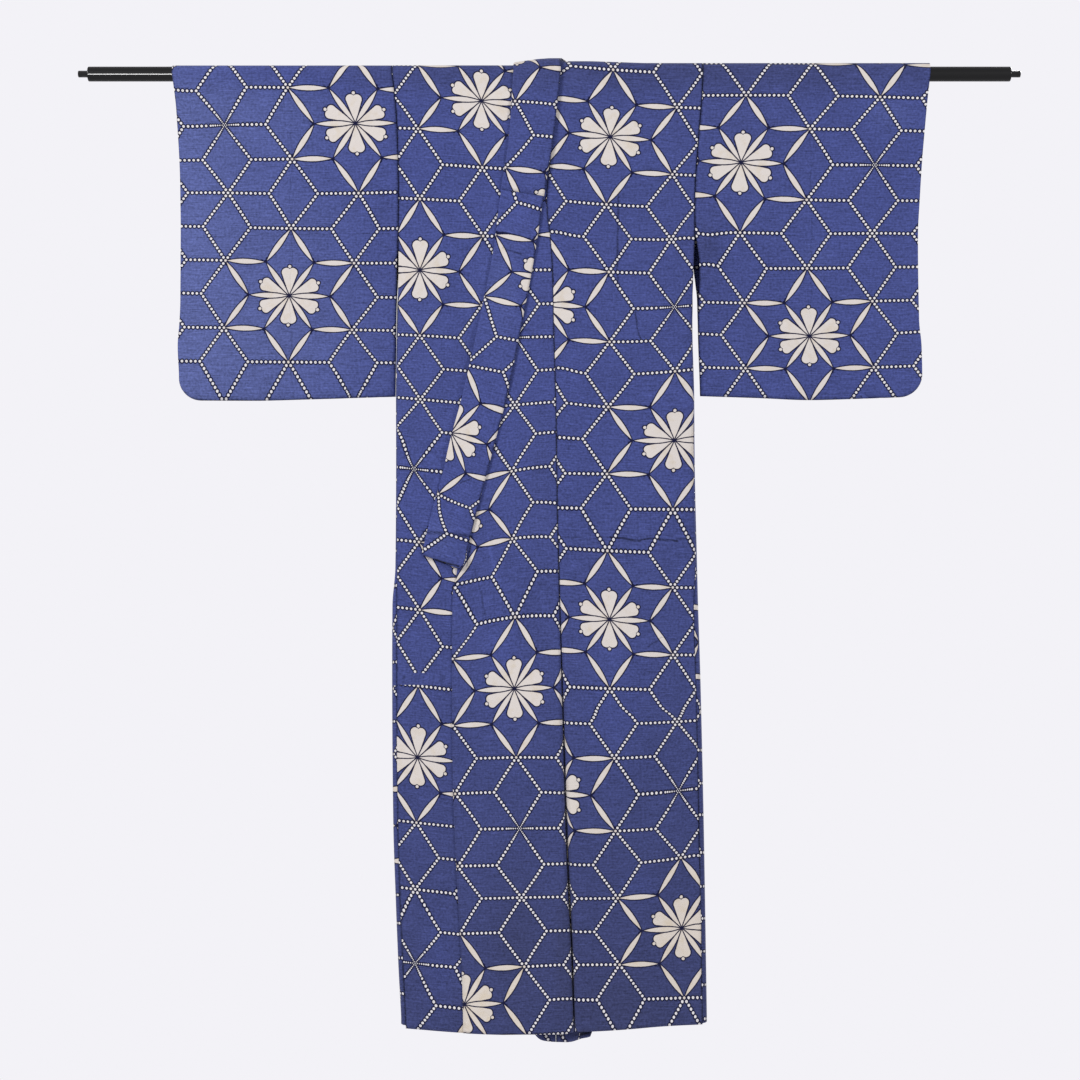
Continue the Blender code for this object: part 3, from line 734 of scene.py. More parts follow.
def rod_height_at(x, left):
    """Height of that arc over the rod's axis."""
    if not left:
        return ROD_CLOTH_RADIUS + 0.2 + 0 * x
    return np.maximum(rod_radius_at(x, left), LEFT_SHOULDER_HEIGHT)


def back_depth(x, z, left):
    """How far behind the rod's axis the back hangs."""
    return mix(rod_radius_at(x, left), BACK_DEPTH, clamp(-z / BACK_SETTLES))


# Sections of the body at one height, as arrays of x and depth


def side_arc(z, left, front):
    """The rounded side, from its seam to where the front or the back lies flat."""
    outer = at(SILHOUETTE, z, 2 if left else 1)
    inward = -1 if left else 1
    across = at(SIDE_ROUND, z)
    front_reach = (top_depth if left else under_depth)(outer, z)
    back_reach = back_depth(outer, z, left)
    flat_angle = 90.0 if front else -90.0
    seam_angle = mix(90 * at(SIDE_ROUND, z, 2), flat_angle, at(SIDE_OPEN, z))
    angles = np.radians(np.linspace(seam_angle, flat_angle, SIDE_POINTS))
    reach = np.where(angles >= 0, front_reach, back_reach)
    return np.column_stack([outer + inward * across * (1 - np.cos(angles)), reach * np.sin(angles)])


def okumi_fold(z, side, count):
    """The edge that turns back into the fold along the okumi seam, ending at the seam."""
    seam_x, half_width, fold = (at(OKUMI_SEAM, z, column) for column in (1, 2, 3))
    parting = OKUMI_PARTING + FOLD_PARTING * clamp(fold / 3)
    profile = ((0.0, 1.0), (0.45 * half_width, 0.5), (half_width + 1, 0.12), (2 * half_width + 4, 0.0))
    offsets = np.linspace(profile[-1][0], 0, count)
    x = seam_x + side * (offsets + parting)
    return np.column_stack([x, top_depth(x, z) - fold * at(profile, offsets)])


def front_section(z, left):
    """The front from the side seam to the okumi seam."""
    arc = side_arc(z, left, True)
    if left:
        curl = okumi_fold(z, 1, FOLD_POINTS)
    else:
        inner = mirrored(at(OKUMI_SEAM, z)) - SEAM / 2
        curl = np.array([[inner, under_depth(inner, z)]])
    x = np.linspace(arc[-1, 0], curl[0, 0], FRONT_POINTS)[1:-1]
    depth = (top_depth if left else under_depth)(x, z)
    return np.vstack([arc, np.column_stack([x, depth]), curl])


def back_section(z, left):
    """The back from the side seam to the spine seam."""
    arc = side_arc(z, left, False)
    spine = at(BACK_FOLD, z, 2)
    neck = clamp(1 + z / BACK_SETTLES) * (NECK_EDGE_X - CENTRE_X)
    inner = spine + (SEAM / 2 + neck) * (1 if left else -1)
    x = np.linspace(arc[-1, 0], inner, BACK_POINTS)[1:]
    depth = at(BACK_FOLD, z) * at(BACK_FOLD_PROFILE, x - spine) - back_depth(x, z, left)
    return np.vstack([arc, np.column_stack([x, depth])])


def resampled(line, side_length, inner_length):
    """The section at fixed columns, closer near the side and near the inner edge."""
    run = np.concatenate([[0], np.cumsum(np.hypot(*np.diff(line, axis=0).T))])
    total = run[-1]
    places = np.concatenate([
        np.linspace(0, side_length, SIDE_COLUMNS)[:-1],
        np.linspace(side_length, total - inner_length, MIDDLE_COLUMNS)[:-1],
        np.linspace(total - inner_length, total, INNER_COLUMNS),
    ])
    return np.column_stack([np.interp(places, run, values) for values in line.T])


# Sheets as arrays of points, row by row, in millimetres


def row_of(section, z):
    """A section as a row of points at this height."""
    return np.column_stack([section[:, 0], -section[:, 1], np.full(len(section), float(z))])


def hem_drawn(grid, hem, hem_z):
    """Bends the last rows of a hanging sheet to its uneven hem."""
    near = smooth((hem_z + HEM_REACH - grid[..., 2]) / HEM_REACH)
    grid[..., 2] += near * (at(hem, grid[..., 0]) - hem_z)
    return grid


def body_sheet(left, step):
    """A body length from the front hem over the rod to the back hem, and its row on the rod."""
    front_z = np.linspace(FRONT_HEM_Z, 0, int(-FRONT_HEM_Z / step))
    back_z = np.linspace(0, BACK_HEM_Z, int(-BACK_HEM_Z / step))
    front = np.array([row_of(resampled(front_section(z, left), *FRONT_REACH), z) for z in front_z])
    over = []
    shoulder = front_section(0.0, left) * (1, 0)
    for angle in np.arange(TURN_STEP, 180, TURN_STEP):
        reach = [mix(a, b, angle / 180) for a, b in zip(FRONT_REACH, BACK_REACH)]
        x = resampled(shoulder, *reach)[:, 0]
        turn = math.radians(angle)
        depth, height = rod_radius_at(x, left), rod_height_at(x, left)
        over.append(np.column_stack([x, -depth * math.cos(turn), height * math.sin(turn)]))
    back = np.array([row_of(resampled(back_section(z, left), *BACK_REACH), z) for z in back_z])
    front = creased(hem_drawn(front, FRONT_HEM, FRONT_HEM_Z), FRONT_CREASES, -1)
    if not left:
        front = creased(front, UNDER_CREASES, -1, 0.0)
    back = creased(hem_drawn(back, BACK_HEM, BACK_HEM_Z), BACK_CREASES, 1)
    return np.concatenate([front, np.array(over), back]), len(front) - 1


def okumi_edge(z):
    """The x of the overlap strip's front edge."""
    return at(COLLAR_EDGES, z, 2) - UNDERLAP if z > OKUMI_EDGE[0][0] else at(OKUMI_EDGE, z)


def okumi_sheet(left, step):
    """An overlap strip, from the hem up, each row from the seam to the front edge."""
    rows = []
    for z in np.linspace(FRONT_HEM_Z, OKUMI_TOP, int((OKUMI_TOP - FRONT_HEM_Z) / step)):
        edge = okumi_edge(z)
        if left:
            curl = okumi_fold(z, -1, STRIP_FOLD_COLUMNS)[::-1]
            start = curl[-1, 0]
            x = np.linspace(start, min(edge, start - LEAST_STRIP), STRIP_COLUMNS)[1:]
            section = np.vstack([curl, np.column_stack([x, top_depth(x, z)])])
        else:
            x = np.linspace(mirrored(at(OKUMI_SEAM, z)) + SEAM / 2, mirrored(edge), UNDER_STRIP_COLUMNS)
            section = np.column_stack([x, under_depth(x, z)])
        rows.append(row_of(section, z))
    grid = creased(hem_drawn(np.array(rows), FRONT_HEM, FRONT_HEM_Z), FRONT_CREASES, -1)
    if not left:
        grid[..., 2] += UNDER_HEM_LIFT * clamp(-grid[..., 2] / 1400)
    return grid


def sleeve_sheet(left, step):
    """A sleeve as rings round the rod, one for each column from the inner edge to the cuff."""
    edge = LEFT_SLEEVE_EDGE if left else RIGHT_SLEEVE_EDGE
    gap = LEFT_SLEEVE_GAP if left else RIGHT_SLEEVE_GAP
    bottom = LEFT_SLEEVE_BOTTOM if left else RIGHT_SLEEVE_BOTTOM
    outward = 1 if left else -1
    body_column = 2 if left else 1
    radius = float(rod_radius_at(at(SILHOUETTE, 0.0, body_column), left))
    height = LEFT_SHOULDER_HEIGHT if left else ROD_CLOTH_RADIUS

    def x_at(share, z, closed=0.0):
        inner = at(SILHOUETTE, z, body_column) + outward * at(gap, np.minimum(z + closed, 0))
        return mix(inner, at(edge, z), share)

    width = abs(x_at(1, SLEEVE_LOW_Z) - x_at(0, SLEEVE_LOW_Z))
    shares = np.linspace(0, 1 - SLEEVE_CORNER / width, int(width / step))[:-1]
    turns = np.radians(np.linspace(0, 90, CORNER_COLUMNS))
    corner = SLEEVE_CORNER / width
    columns = [(share, 0.0) for share in shares]
    columns += [(1 - corner + corner * math.sin(t), SLEEVE_CORNER * (1 - math.cos(t))) for t in turns]
    over = np.radians(np.arange(0, 181, TURN_STEP))
    rings = []
    for share, rise in columns:
        lowest = float(at(bottom, x_at(share, SLEEVE_LOW_Z)) + rise)
        z = np.linspace(0, lowest, int(SLEEVE_DROP / step))[1:]
        near_cuff = 1 - smooth(abs(at(edge, z) - x_at(share, z)) / CUFF_REACH)
        arm = at(SLEEVE_DEPTH, z)
        hang = radius * mix(arm, np.minimum(arm, at(CUFF_DEPTH, z)), near_cuff)
        closing = mix(SLEEVE_SEAM_DEPTH, radius, clamp((z - lowest) / SLEEVE_CLOSES))
        depth = np.maximum(SLEEVE_SEAM_DEPTH, np.minimum(hang, closing))
        depth *= np.sqrt(clamp((z - lowest) / SLEEVE_ROUNDS, 0.04, 1))
        x = x_at(share, z)
        front = np.column_stack([x, -depth, z])[::-1]
        top = [(x_at(share, 0.0), -radius * math.cos(a), height * math.sin(a)) for a in over]
        back = np.column_stack([x_at(share, z, BACK_CLOSED), depth, z])
        rings.append(np.vstack([front, top, back]))
    grid = np.array(rings)
    half = len(grid[0]) // 2
    grid[:, :half] = creased(grid[:, :half], SLEEVE_CREASES, -1)
    grid[:, half:] = creased(grid[:, half:], SLEEVE_CREASES, 1)
    return grid


def creased(grid, creases, outward, uneven=1.0):
    """Presses creases into a sheet, outward along y, with waves of 0.45 and of 0.12 mm."""
    x, z = grid[..., 0], grid[..., 2]
    moved = 0.45 * np.sin(x / 31 + 1.3 * np.sin(z / 97)) * np.sin(z / 83 + 0.9 * np.sin(x / 57))
    moved += 0.12 * np.sin(x / 9.5 + 2 * np.sin(z / 41)) * np.sin(z / 23 + x / 77)
    moved *= uneven
    for x0, z0, x1, z1, half_width, height in creases:
        length = math.hypot(x1 - x0, z1 - z0)
        along = ((x - x0) * (x1 - x0) + (z - z0) * (z1 - z0)) / length
        wander = 0.25 * half_width * np.sin(along / 37 + x0)
        across = ((x - x0) * (z1 - z0) - (z - z0) * (x1 - x0)) / length + wander
        ends = smooth(along / 30) * smooth((length - along) / 30)
        moved += height * ends * np.exp(-((across / half_width) ** 2))
    settled = smooth(-z / 40)
    grid[..., 1] += outward * moved * settled
    return grid


# The collar: rows of points from the free edge to the sewn edge


def band_front_row(z, left, u):
    """One row of the collar in front, at this height of its free edge."""
    row_z = z - COLLAR_TILT * smooth(-z / COLLAR_TILTS_OVER) * u
    near_end = clamp((COLLAR_LOW_Z + COLLAR_END_REACH - z) / COLLAR_END_REACH)
    keys, drops = np.array(COLLAR_END_DROP).T
    row_z = row_z - near_end * np.interp(u, keys, drops)
    free, sewn = at(COLLAR_EDGES, row_z), at(COLLAR_EDGES, row_z, 2)
    x = mix(free, sewn, u)
    if left:
        lower = smooth((LIFT_SHARES_CHANGE - z) / LIFT_SHARES_CHANGE_OVER)
        shares = [np.interp(u, *np.array(table).T) for table in (NECK_LIFT_SHARES, LOW_LIFT_SHARES)]
        depth = under_depth(x, row_z) + top_lift(sewn, row_z) * mix(*shares, lower)
    else:
        x = mirrored(x)
        depth = under_depth(x, row_z)
    curl = near_end**2 * mix(*COLLAR_END_CURL, u) if left else 0.0
    return np.column_stack([x, -(depth + BAND_STEP + curl), row_z])


def neck_shift():
    """How far the collar's free edge moves sideways into the loop behind the neck."""
    return CENTRE_X + NECK_GAP - COLLAR_EDGES[0][1]


def band_rod_row(angle, left, u):
    """One row of the collar where it passes over the rod and leans towards the neck's middle."""
    front = band_front_row(0.0, left, u)
    shift = at(SHOULDER_SHIFT, angle) * neck_shift() * (1 if left else -1)
    turn = math.radians(angle)
    behind = back_depth(NECK_EDGE_X, 0.0, left) + BAND_STEP
    radius = mix(-front[:, 1], behind, at(SHOULDER_SHIFT, angle, 2))
    return np.column_stack([front[:, 0] + shift, -radius * math.cos(turn), radius * math.sin(turn)])


def band_neck_row(turn, u, z=-NECK_DROP, share=1.0):
    """One row of the collar round the back of the neck, at this turn from the left leg."""
    width = COLLAR_EDGES[0][2] - COLLAR_EDGES[0][1]
    centre = CENTRE_X - (1 - share) * neck_shift() * math.cos(turn)
    radius = NECK_GAP + width * u
    height = z - radius * math.sin(turn)
    sides = (turn < math.pi / 2,) if z > -NECK_DROP else (True, False)
    depth = np.max([back_depth(NECK_EDGE_X, height, left) for left in sides], axis=0) + BAND_STEP
    return np.column_stack([centre + radius * math.cos(turn), depth, height])


def band_sheet(step, u):
    """The middle of the whole collar, and the row numbers where the over-collar starts and ends."""
    heights = np.linspace(COLLAR_LOW_Z, 0, int(-COLLAR_LOW_Z / step))
    angles = np.arange(TURN_STEP, 181, TURN_STEP)
    rows = [band_front_row(z, True, u) for z in heights]
    rows += [band_rod_row(angle, True, u) for angle in angles]
    rows += [band_neck_row(0.0, u, z, share) for z, share in NECK_ENTRIES]
    rows += [band_neck_row(turn, u) for turn in np.linspace(0, math.pi, NECK_ROWS)]
    rows += [band_neck_row(math.pi, u, z, share) for z, share in reversed(NECK_ENTRIES)]
    rows += [band_rod_row(angle, False, u) for angle in angles[::-1]]
    rows += [band_front_row(z, False, u) for z in heights[::-1]]
    grid, count = np.array(rows), len(heights)
    for front in (grid[:count], grid[-count:]):
        creased(front, FRONT_CREASES, -1)
    return grid, int(np.searchsorted(heights, OVERLAY_END)), count - 1


def normals_of(grid):
    """Unit normals of a grid of points, which point inward on the collar."""
    normals = np.cross(np.gradient(grid, axis=0), np.gradient(grid, axis=1))
    return normals / np.linalg.norm(normals, axis=2, keepdims=True)


def bend_round_edge(middle, normals, degrees, aside, forward):
    """Columns that turn round the collar's free edge, so far aside and forward of it."""
    edge_out = middle[:, 0] - middle[:, 1]
    edge_out /= np.linalg.norm(edge_out, axis=1, keepdims=True)
    turned = [
        middle[:, 0] + edge_out * math.sin(a) * aside - normals[:, 0] * math.cos(a) * forward
        for a in np.radians(degrees)
    ]
    return np.stack(turned, axis=1)


def folded_band(middle, fold_gap, plump):
    """The collar's strip folded in two along its free edge, from the outer sewn edge to the inner."""
    normals = normals_of(middle)
    u = np.linspace(0, 1, middle.shape[1])
    bulge = plump * np.sin(np.pi * u)[None, :, None]
    outer = middle - normals * (fold_gap / 2 + bulge)
    inner = middle + normals * fold_gap / 2
    bend = bend_round_edge(middle, normals, (30, 60, 90, 120, 150), fold_gap / 2, fold_gap / 2)
    return np.concatenate([outer[:, ::-1], bend, inner], axis=1)


def wrapped_overlay(middle, lift):
    """The over-collar: lies on the collar's outside and turns round its free edge."""
    normals = normals_of(middle)
    outer = middle - normals * lift
    bend = bend_round_edge(middle, normals, (20, 40, 60, 80, 100), 0.8 * lift, lift)
    return np.concatenate([outer[:, ::-1], bend], axis=1)


# Where the print falls on a sheet


def runs(grid, axis):
    """Distance along the sheet's rows or columns, from the first."""
    steps = np.linalg.norm(np.diff(grid, axis=axis), axis=2)
    start = np.zeros_like(np.take(steps, [0], axis=axis))
    return np.concatenate([start, np.cumsum(steps, axis=axis)], axis=axis)


def runs_back(grid, axis):
    """Distance along the sheet's rows or columns, from the last."""
    return np.flip(runs(np.flip(grid, axis), axis), axis)


def nearer_end(grid, axis):
    """Distance along the sheet's rows or columns, from the nearer end."""
    return np.minimum(runs(grid, axis), runs_back(grid, axis))


def bare_band(name, grid):
    """One where the front of a sheet is left unprinted between two printings, and zero elsewhere."""
    high, low = BARE_BAND.get(name, (1, 1))
    return (grid[..., 1] < 0) * (grid[..., 2] < high) * (grid[..., 2] > low) * 1.0


def drawn_straight(name, grid, across, down):
    """Distances across and down the cloth as they were before it hung and was drawn out of straight."""
    if name not in PULLS:
        return across, down
    (left, right), table = PULLS[name]
    z = np.where(grid[..., 1] > 0, 0, np.minimum(grid[..., 2], 0))
    place = across if "collar" in name else grid[..., 0]
    share = clamp((place - left) / (right - left))
    sideways = mix(at(table, z, 1), at(table, z, 2), share)
    low, middle, high = (at(table, z, column) for column in (3, 4, 5))
    drop = mix(low, high, share) + (4 * middle - 2 * (low + high)) * share * (1 - share)
    behind = 2 * np.maximum(grid[..., 1] + 10, 0)
    for piece, tug_x, tug_z, reach, tug_aside, tug_down in TUGS:
        if piece == name:
            off = (grid[..., 0] - tug_x) ** 2 + (grid[..., 2] - tug_z) ** 2 + behind**2
            near = np.exp(-off / reach**2)
            sideways, drop = sideways + near * tug_aside, drop + near * tug_down
    return across - sideways, down - drop


def print_place(name, grid, across, down):
    """Print coordinates in millimetres from distances across and down the cloth."""
    across, down = drawn_straight(name, grid, across, down)
    _, column, row_zero, across_sign, down_sign, width, slope = PRINT[name]
    u = COLUMN * (across_sign * across / width + column)
    printed = down_sign * (down - row_zero - slope * across) - JOIN_ROW * PRINTED_ROW
    repeats, within = np.divmod(printed, PRINTED_REPEAT)
    last = PERIOD_ROWS - 1
    rows = np.interp(within, (0, last * PRINTED_ROW, PRINTED_REPEAT), (0, last, PERIOD_ROWS))
    return np.stack([u, HALF_ROW * (rows + JOIN_ROW + PERIOD_ROWS * repeats)], axis=2)


def across_from(grid, x_zero):
    """Distance across each row from where the row crosses x_zero, positive towards +X."""
    across = runs(grid, 1)
    out = np.empty_like(across)
    for i, (x, run) in enumerate(zip(grid[..., 0], across)):
        order = np.argsort(x)
        sign = 1.0 if x[-1] > x[0] else -1.0
        zero = np.interp(x_zero, x[order], run[order])
        beyond = np.clip(x_zero, x[order][0], x[order][-1])
        out[i] = sign * (run - zero) + (beyond - x_zero)
    return out


def down_the_collar(grid, shoulder):
    """Distance down the front leg, and behind the rod the distance along one thread of the strip."""
    down = runs(grid, 0)
    down = down[shoulder] - down
    down[shoulder + 1 :] = down[shoulder + 1 :, KEPT_THREAD : KEPT_THREAD + 1]
    return down


# Meshes


def corners(grid):
    """The corners of the faces between a grid's rows and columns, in order round each face."""
    return [grid[:-1, :-1], grid[:-1, 1:], grid[1:, 1:], grid[1:, :-1]]


def cloth_piece(cloth, node, grid, places, hem, seam, ring=False):
    """A sheet of cotton from a grid of points, their places in the print and their distances to edges."""
    rows, columns = grid.shape[:2]
    index = np.arange(rows * columns).reshape(rows, columns)
    if ring:
        index = np.concatenate([index, index[:, :1]], axis=1)
    faces = np.stack([c.ravel() for c in corners(index)], axis=1)
    mesh = bpy.data.meshes.new("cloth_" + node)
    mesh.from_pydata((grid.reshape(-1, 3) * MM).tolist(), [], faces.tolist())
    mesh.update()
    layer = mesh.uv_layers.new(name="print")
    loops = np.stack([c.reshape(-1, 2) for c in corners(places)], axis=1).reshape(-1, 2) * MM
    layer.data.foreach_set("uv", loops.astype(np.float32).ravel())
    lightness_and_shade = at(GROUND_LIGHTNESS_ACROSS, grid[..., 0]) + at(SHADE_AND_LIGHTNESS_DOWN, grid[..., 2])
    for x, z, reach_x, reach_z, amount in LIGHTER_AND_DARKER_PATCHES:
        off = ((grid[..., 0] - x) / reach_x) ** 2 + ((grid[..., 2] - z) / reach_z) ** 2
        lightness_and_shade += amount * np.exp(-off)
    bare = bare_band(node, grid)
    for label, values in (("hem", hem), ("seam", seam), ("lightness_and_shade", lightness_and_shade), ("bare", bare)):
        attribute = mesh.attributes.new(label, "FLOAT", "POINT")
        attribute.data.foreach_set("value", values.astype(np.float32).ravel())
    mesh.shade_smooth()
    mesh.materials.append(cotton(cloth))
    piece = bpy.data.objects.new("cloth_" + node, mesh)
    bpy.context.scene.collection.objects.link(piece)
    wall = piece.modifiers.new("Cloth thickness", "SOLIDIFY")
    wall.thickness = cloth.thickness
    wall.offset = 0.0
    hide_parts(node)
    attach(piece, "root")


# Materials


def add(tree, kind, inputs=(), output=0, **settings):
    """Adds a node, sets it up, links or fills its inputs in order and gives one of its outputs."""
    node = tree.nodes.new(kind)
    for name, value in settings.items():
        setattr(node, name, value)
    for socket, value in zip(node.inputs, inputs):
        if isinstance(value, bpy.types.NodeSocket):
            tree.links.new(value, socket)
        elif value is not None:
            socket.default_value = value
    return node.outputs[output]


MATH = "ShaderNodeMath"
VECTOR = "ShaderNodeVectorMath"
NOISE = "ShaderNodeTexNoise"
RANGE = "ShaderNodeMapRange"
MIX = "ShaderNodeMix"
PARTS = "ShaderNodeSeparateXYZ"
ATTRIBUTE = "ShaderNodeAttribute"
# The sockets of a mix between its share and its two colours
SKIPPED = (None,) * 5

# Half the print's repeat, across and down
REPEAT_REACH = (PERIOD_COLUMNS * COLUMN / 2, PERIOD_ROWS * HALF_ROW / 2, 1)
# Share of the way to its corners that a leaf reaches
LEAF_REACH = 0.955
# Blossoms: angle of the petal, its length and half-width as shares of the petal length
PETALS = ((90.0, 1.02, 0.28), (25.5, 1.09, 0.24))
# Their lobes: radius as a share of the half-width, and how far they reach into the tapered part
PETAL_LOBE = 0.6
LOBE_OVERLAP = 2.0
# The straight sides of that part: how far they stand in, and the cosine of their slope
SIDE_INSET = 0.3
SIDE_COSINE = 0.94
# The dot beyond a petal's notch: distance from the petal's tip, radius
PETAL_DOT_GAP = 2.2
PETAL_DOT_RADIUS = 2.4
# Dots along a spoke and along a slanting edge of the lattice
SPOKE_DOTS = 9
SLANT_DOTS = 11
# Towards a fine star: from where to where dots shrink, to which share, and where they stand closer
SHRINKING = (4, 32)
SMALLEST = 0.42
DENSE_REACH = 20
# Bare ground between the star's outline and the dots round it
STAR_MARGIN = 2.2

# How unevenly the cotton takes the dye: noise cells in each millimetre across and down the cloth,
# its detail and roughness, the range of the noise that counts, and the tone at its two ends
DYE_TONES = (
    # Weft slubs, threads of uneven thickness, drawn at twice their 0.6 mm
    (0.035, 0.8, 3.0, 0.6, 0.3, 0.7, -0.3, 0.3),
    # Odd weft threads that hardly took the dye
    (0.055, 0.62, 1.0, 0.5, 0.62, 0.74, 0.0, 0.42),
    # Mottling from the dye bath
    (0.28, 0.28, 3.0, 0.6, 0.3, 0.7, -0.31, 0.31),
    # Warp threads
    (1.8, 0.02, 2.0, 0.5, 0.3, 0.7, -0.08, 0.08),
    # Broad clouds
    (0.011, 0.011, 3.0, 0.55, 0.3, 0.7, -0.07, 0.07),
)


def new_material(name, values):
    """A new material with these values on its shader's own sockets, its nodes and its shader."""
    material = bpy.data.materials.new(name)
    material.use_nodes = True
    shader = material.node_tree.nodes["Principled BSDF"]
    for socket, value in values.items():
        shader.inputs[socket].default_value = value
    return material, material.node_tree, shader


def largest(tree, values):
    """The largest of these values at each place."""
    result = values[0]
    for value in values[1:]:
        result = add(tree, MATH, (result, value), operation="MAXIMUM")
    return result


def from_nearest(tree, place, centre, reach):
    """A place as seen from the nearest repeat of a point of the pattern."""
    moved = add(tree, VECTOR, (place, centre), operation="SUBTRACT")
    return add(tree, VECTOR, (moved, reach, tuple(-r for r in reach)), operation="WRAP")


def along_and_aside(tree, place, direction):
    """How far a place lies along a direction, and how far to the left of it."""
    left = (-direction[1], direction[0], 0)
    return [add(tree, VECTOR, (place, way), 1, operation="DOT_PRODUCT") for way in (direction, left)]


def distance(tree, x, y):
    """Length of a line that goes x one way and y square to it."""
    squared = add(tree, MATH, (x, x), operation="MULTIPLY")
    squared = add(tree, MATH, (y, y, squared), operation="MULTIPLY_ADD")
    return add(tree, MATH, (squared, 0.5), operation="POWER")


def leaf(tree, place, start, end, half_width):
    """How far a place lies inside a leaf drawn between two points, in millimetres."""
    middle = ((start[0] + end[0]) / 2, (start[1] + end[1]) / 2, 0)
    length = math.dist(start, end) * LEAF_REACH
    direction = ((end[0] - start[0]) / length, (end[1] - start[1]) / length, 0)
    relative = add(tree, VECTOR, (place, middle), operation="SUBTRACT")
    along, aside = along_and_aside(tree, relative, direction)
    aside = add(tree, MATH, (aside,), operation="ABSOLUTE")
    squared = add(tree, MATH, (along, along), operation="MULTIPLY")
    narrowing = -4 * half_width / length**2
    room = add(tree, MATH, (squared, narrowing, half_width), operation="MULTIPLY_ADD")
    return add(tree, MATH, (room, aside), operation="SUBTRACT")


def disc(tree, along, aside, centre, radius):
    """How far inside a disc centred at a distance along a line and aside from it."""
    x = add(tree, MATH, (along, centre[0]), operation="SUBTRACT")
    y = add(tree, MATH, (aside, centre[1]), operation="SUBTRACT")
    return add(tree, MATH, (radius, distance(tree, x, y)), operation="SUBTRACT")


def petal(tree, place, angle, tip, half_width):
    """A heart-shaped petal at this angle, and the small dot beyond its notch."""
    direction = (math.cos(angle), math.sin(angle), 0)
    along, aside = along_and_aside(tree, place, direction)
    aside = add(tree, MATH, (aside,), operation="ABSOLUTE")
    lobe_radius = PETAL_LOBE * half_width
    widest = tip - lobe_radius
    lobe = disc(tree, along, aside, (widest, half_width - lobe_radius), lobe_radius)
    length = widest - LOBE_OVERLAP
    spread = SIDE_COSINE * half_width / length
    taper = add(tree, MATH, (along, spread, -SIDE_INSET), operation="MULTIPLY_ADD")
    taper = add(tree, MATH, (aside, -SIDE_COSINE, taper), operation="MULTIPLY_ADD")
    end = add(tree, MATH, (length, along), operation="SUBTRACT")
    taper = add(tree, MATH, (taper, end), operation="MINIMUM")
    dot = disc(tree, along, aside, (tip + PETAL_DOT_GAP, 0.0), PETAL_DOT_RADIUS)
    return add(tree, MATH, (lobe, taper), operation="MAXIMUM"), dot


def nearest_blossom(tree, place):
    """The place as seen from the nearest blossom, folded into one quadrant."""
    seen = []
    for column, row in BLOSSOMS:
        moved = from_nearest(tree, place, (column * COLUMN, row * HALF_ROW, 0), REPEAT_REACH)
        seen.append(add(tree, VECTOR, (moved,), operation="ABSOLUTE"))
    nearest = seen[0]
    for other in seen[1:]:
        far, near = (add(tree, VECTOR, (p,), 1, operation="LENGTH") for p in (nearest, other))
        closer = add(tree, MATH, (near, far), operation="LESS_THAN")
        nearest = add(tree, MIX, (closer, None, None, None, nearest, other), 1, data_type="VECTOR")
    return nearest


def blossom_star(tree, place, cloth):
    """The twelve-leaf star with its blossom, and how far inside the star's outline a place lies."""
    inner, diagonal = (SPOKE, 0), (COLUMN - SPOKE, HALF_ROW)
    side, top = (COLUMN, HALF_ROW), (0, 2 * HALF_ROW)
    edges = (((0, 0), inner), ((0, 0), diagonal), (inner, side), (diagonal, side), (diagonal, top))
    width = cloth.leaf_width / MM / 2
    leaves = largest(tree, [leaf(tree, place, a, b, width) for a, b in edges])
    reach = cloth.petal_length / MM
    drawn = [petal(tree, place, math.radians(a), tip * reach, wide * reach) for a, tip, wide in PETALS]
    petals, dots = zip(*drawn)
    spaced = add(tree, MATH, (leaves, -1, -cloth.outline_width / MM), operation="MULTIPLY_ADD")
    petals = add(tree, MATH, (largest(tree, petals), spaced), operation="MINIMUM")
    tips = []
    for point in (side, top):
        away = add(tree, VECTOR, (place, (*point, 0)), 1, operation="DISTANCE")
        tips.append(add(tree, MATH, (cloth.dot_diameter / MM / 2, away), operation="SUBTRACT"))
    star = largest(tree, [leaves, petals, *dots, *tips])

    # The star's outline: a slanting band between two edges, or under the slant towards its top
    x, y = (add(tree, PARTS, (place,), i) for i in (0, 1))
    lift = add(tree, MATH, (y, 1 / HALF_ROW), operation="MULTIPLY")
    shifted = add(tree, MATH, (lift, -diagonal[0], x), operation="MULTIPLY_ADD")
    across = HALF_ROW / math.hypot(*diagonal)
    from_left = add(tree, MATH, (shifted, across), operation="MULTIPLY")
    from_right = add(tree, MATH, (from_left, -1, SPOKE * across), operation="MULTIPLY_ADD")
    from_top = add(tree, MATH, (HALF_ROW, y), operation="SUBTRACT")
    slanted = add(tree, MATH, (from_left, from_right), operation="MINIMUM")
    slanted = add(tree, MATH, (slanted, from_top), operation="MINIMUM")
    up = add(tree, MATH, (from_top,), operation="ABSOLUTE")
    up = add(tree, MATH, (up, 1 / HALF_ROW), operation="MULTIPLY")
    upright = add(tree, MATH, (x, 1 / diagonal[0], up), operation="MULTIPLY_ADD")
    scale = 1 / math.hypot(1 / diagonal[0], 1 / HALF_ROW)
    upright = add(tree, MATH, (upright, -scale, scale), operation="MULTIPLY_ADD")
    return star, add(tree, MATH, (slanted, upright), operation="MAXIMUM")


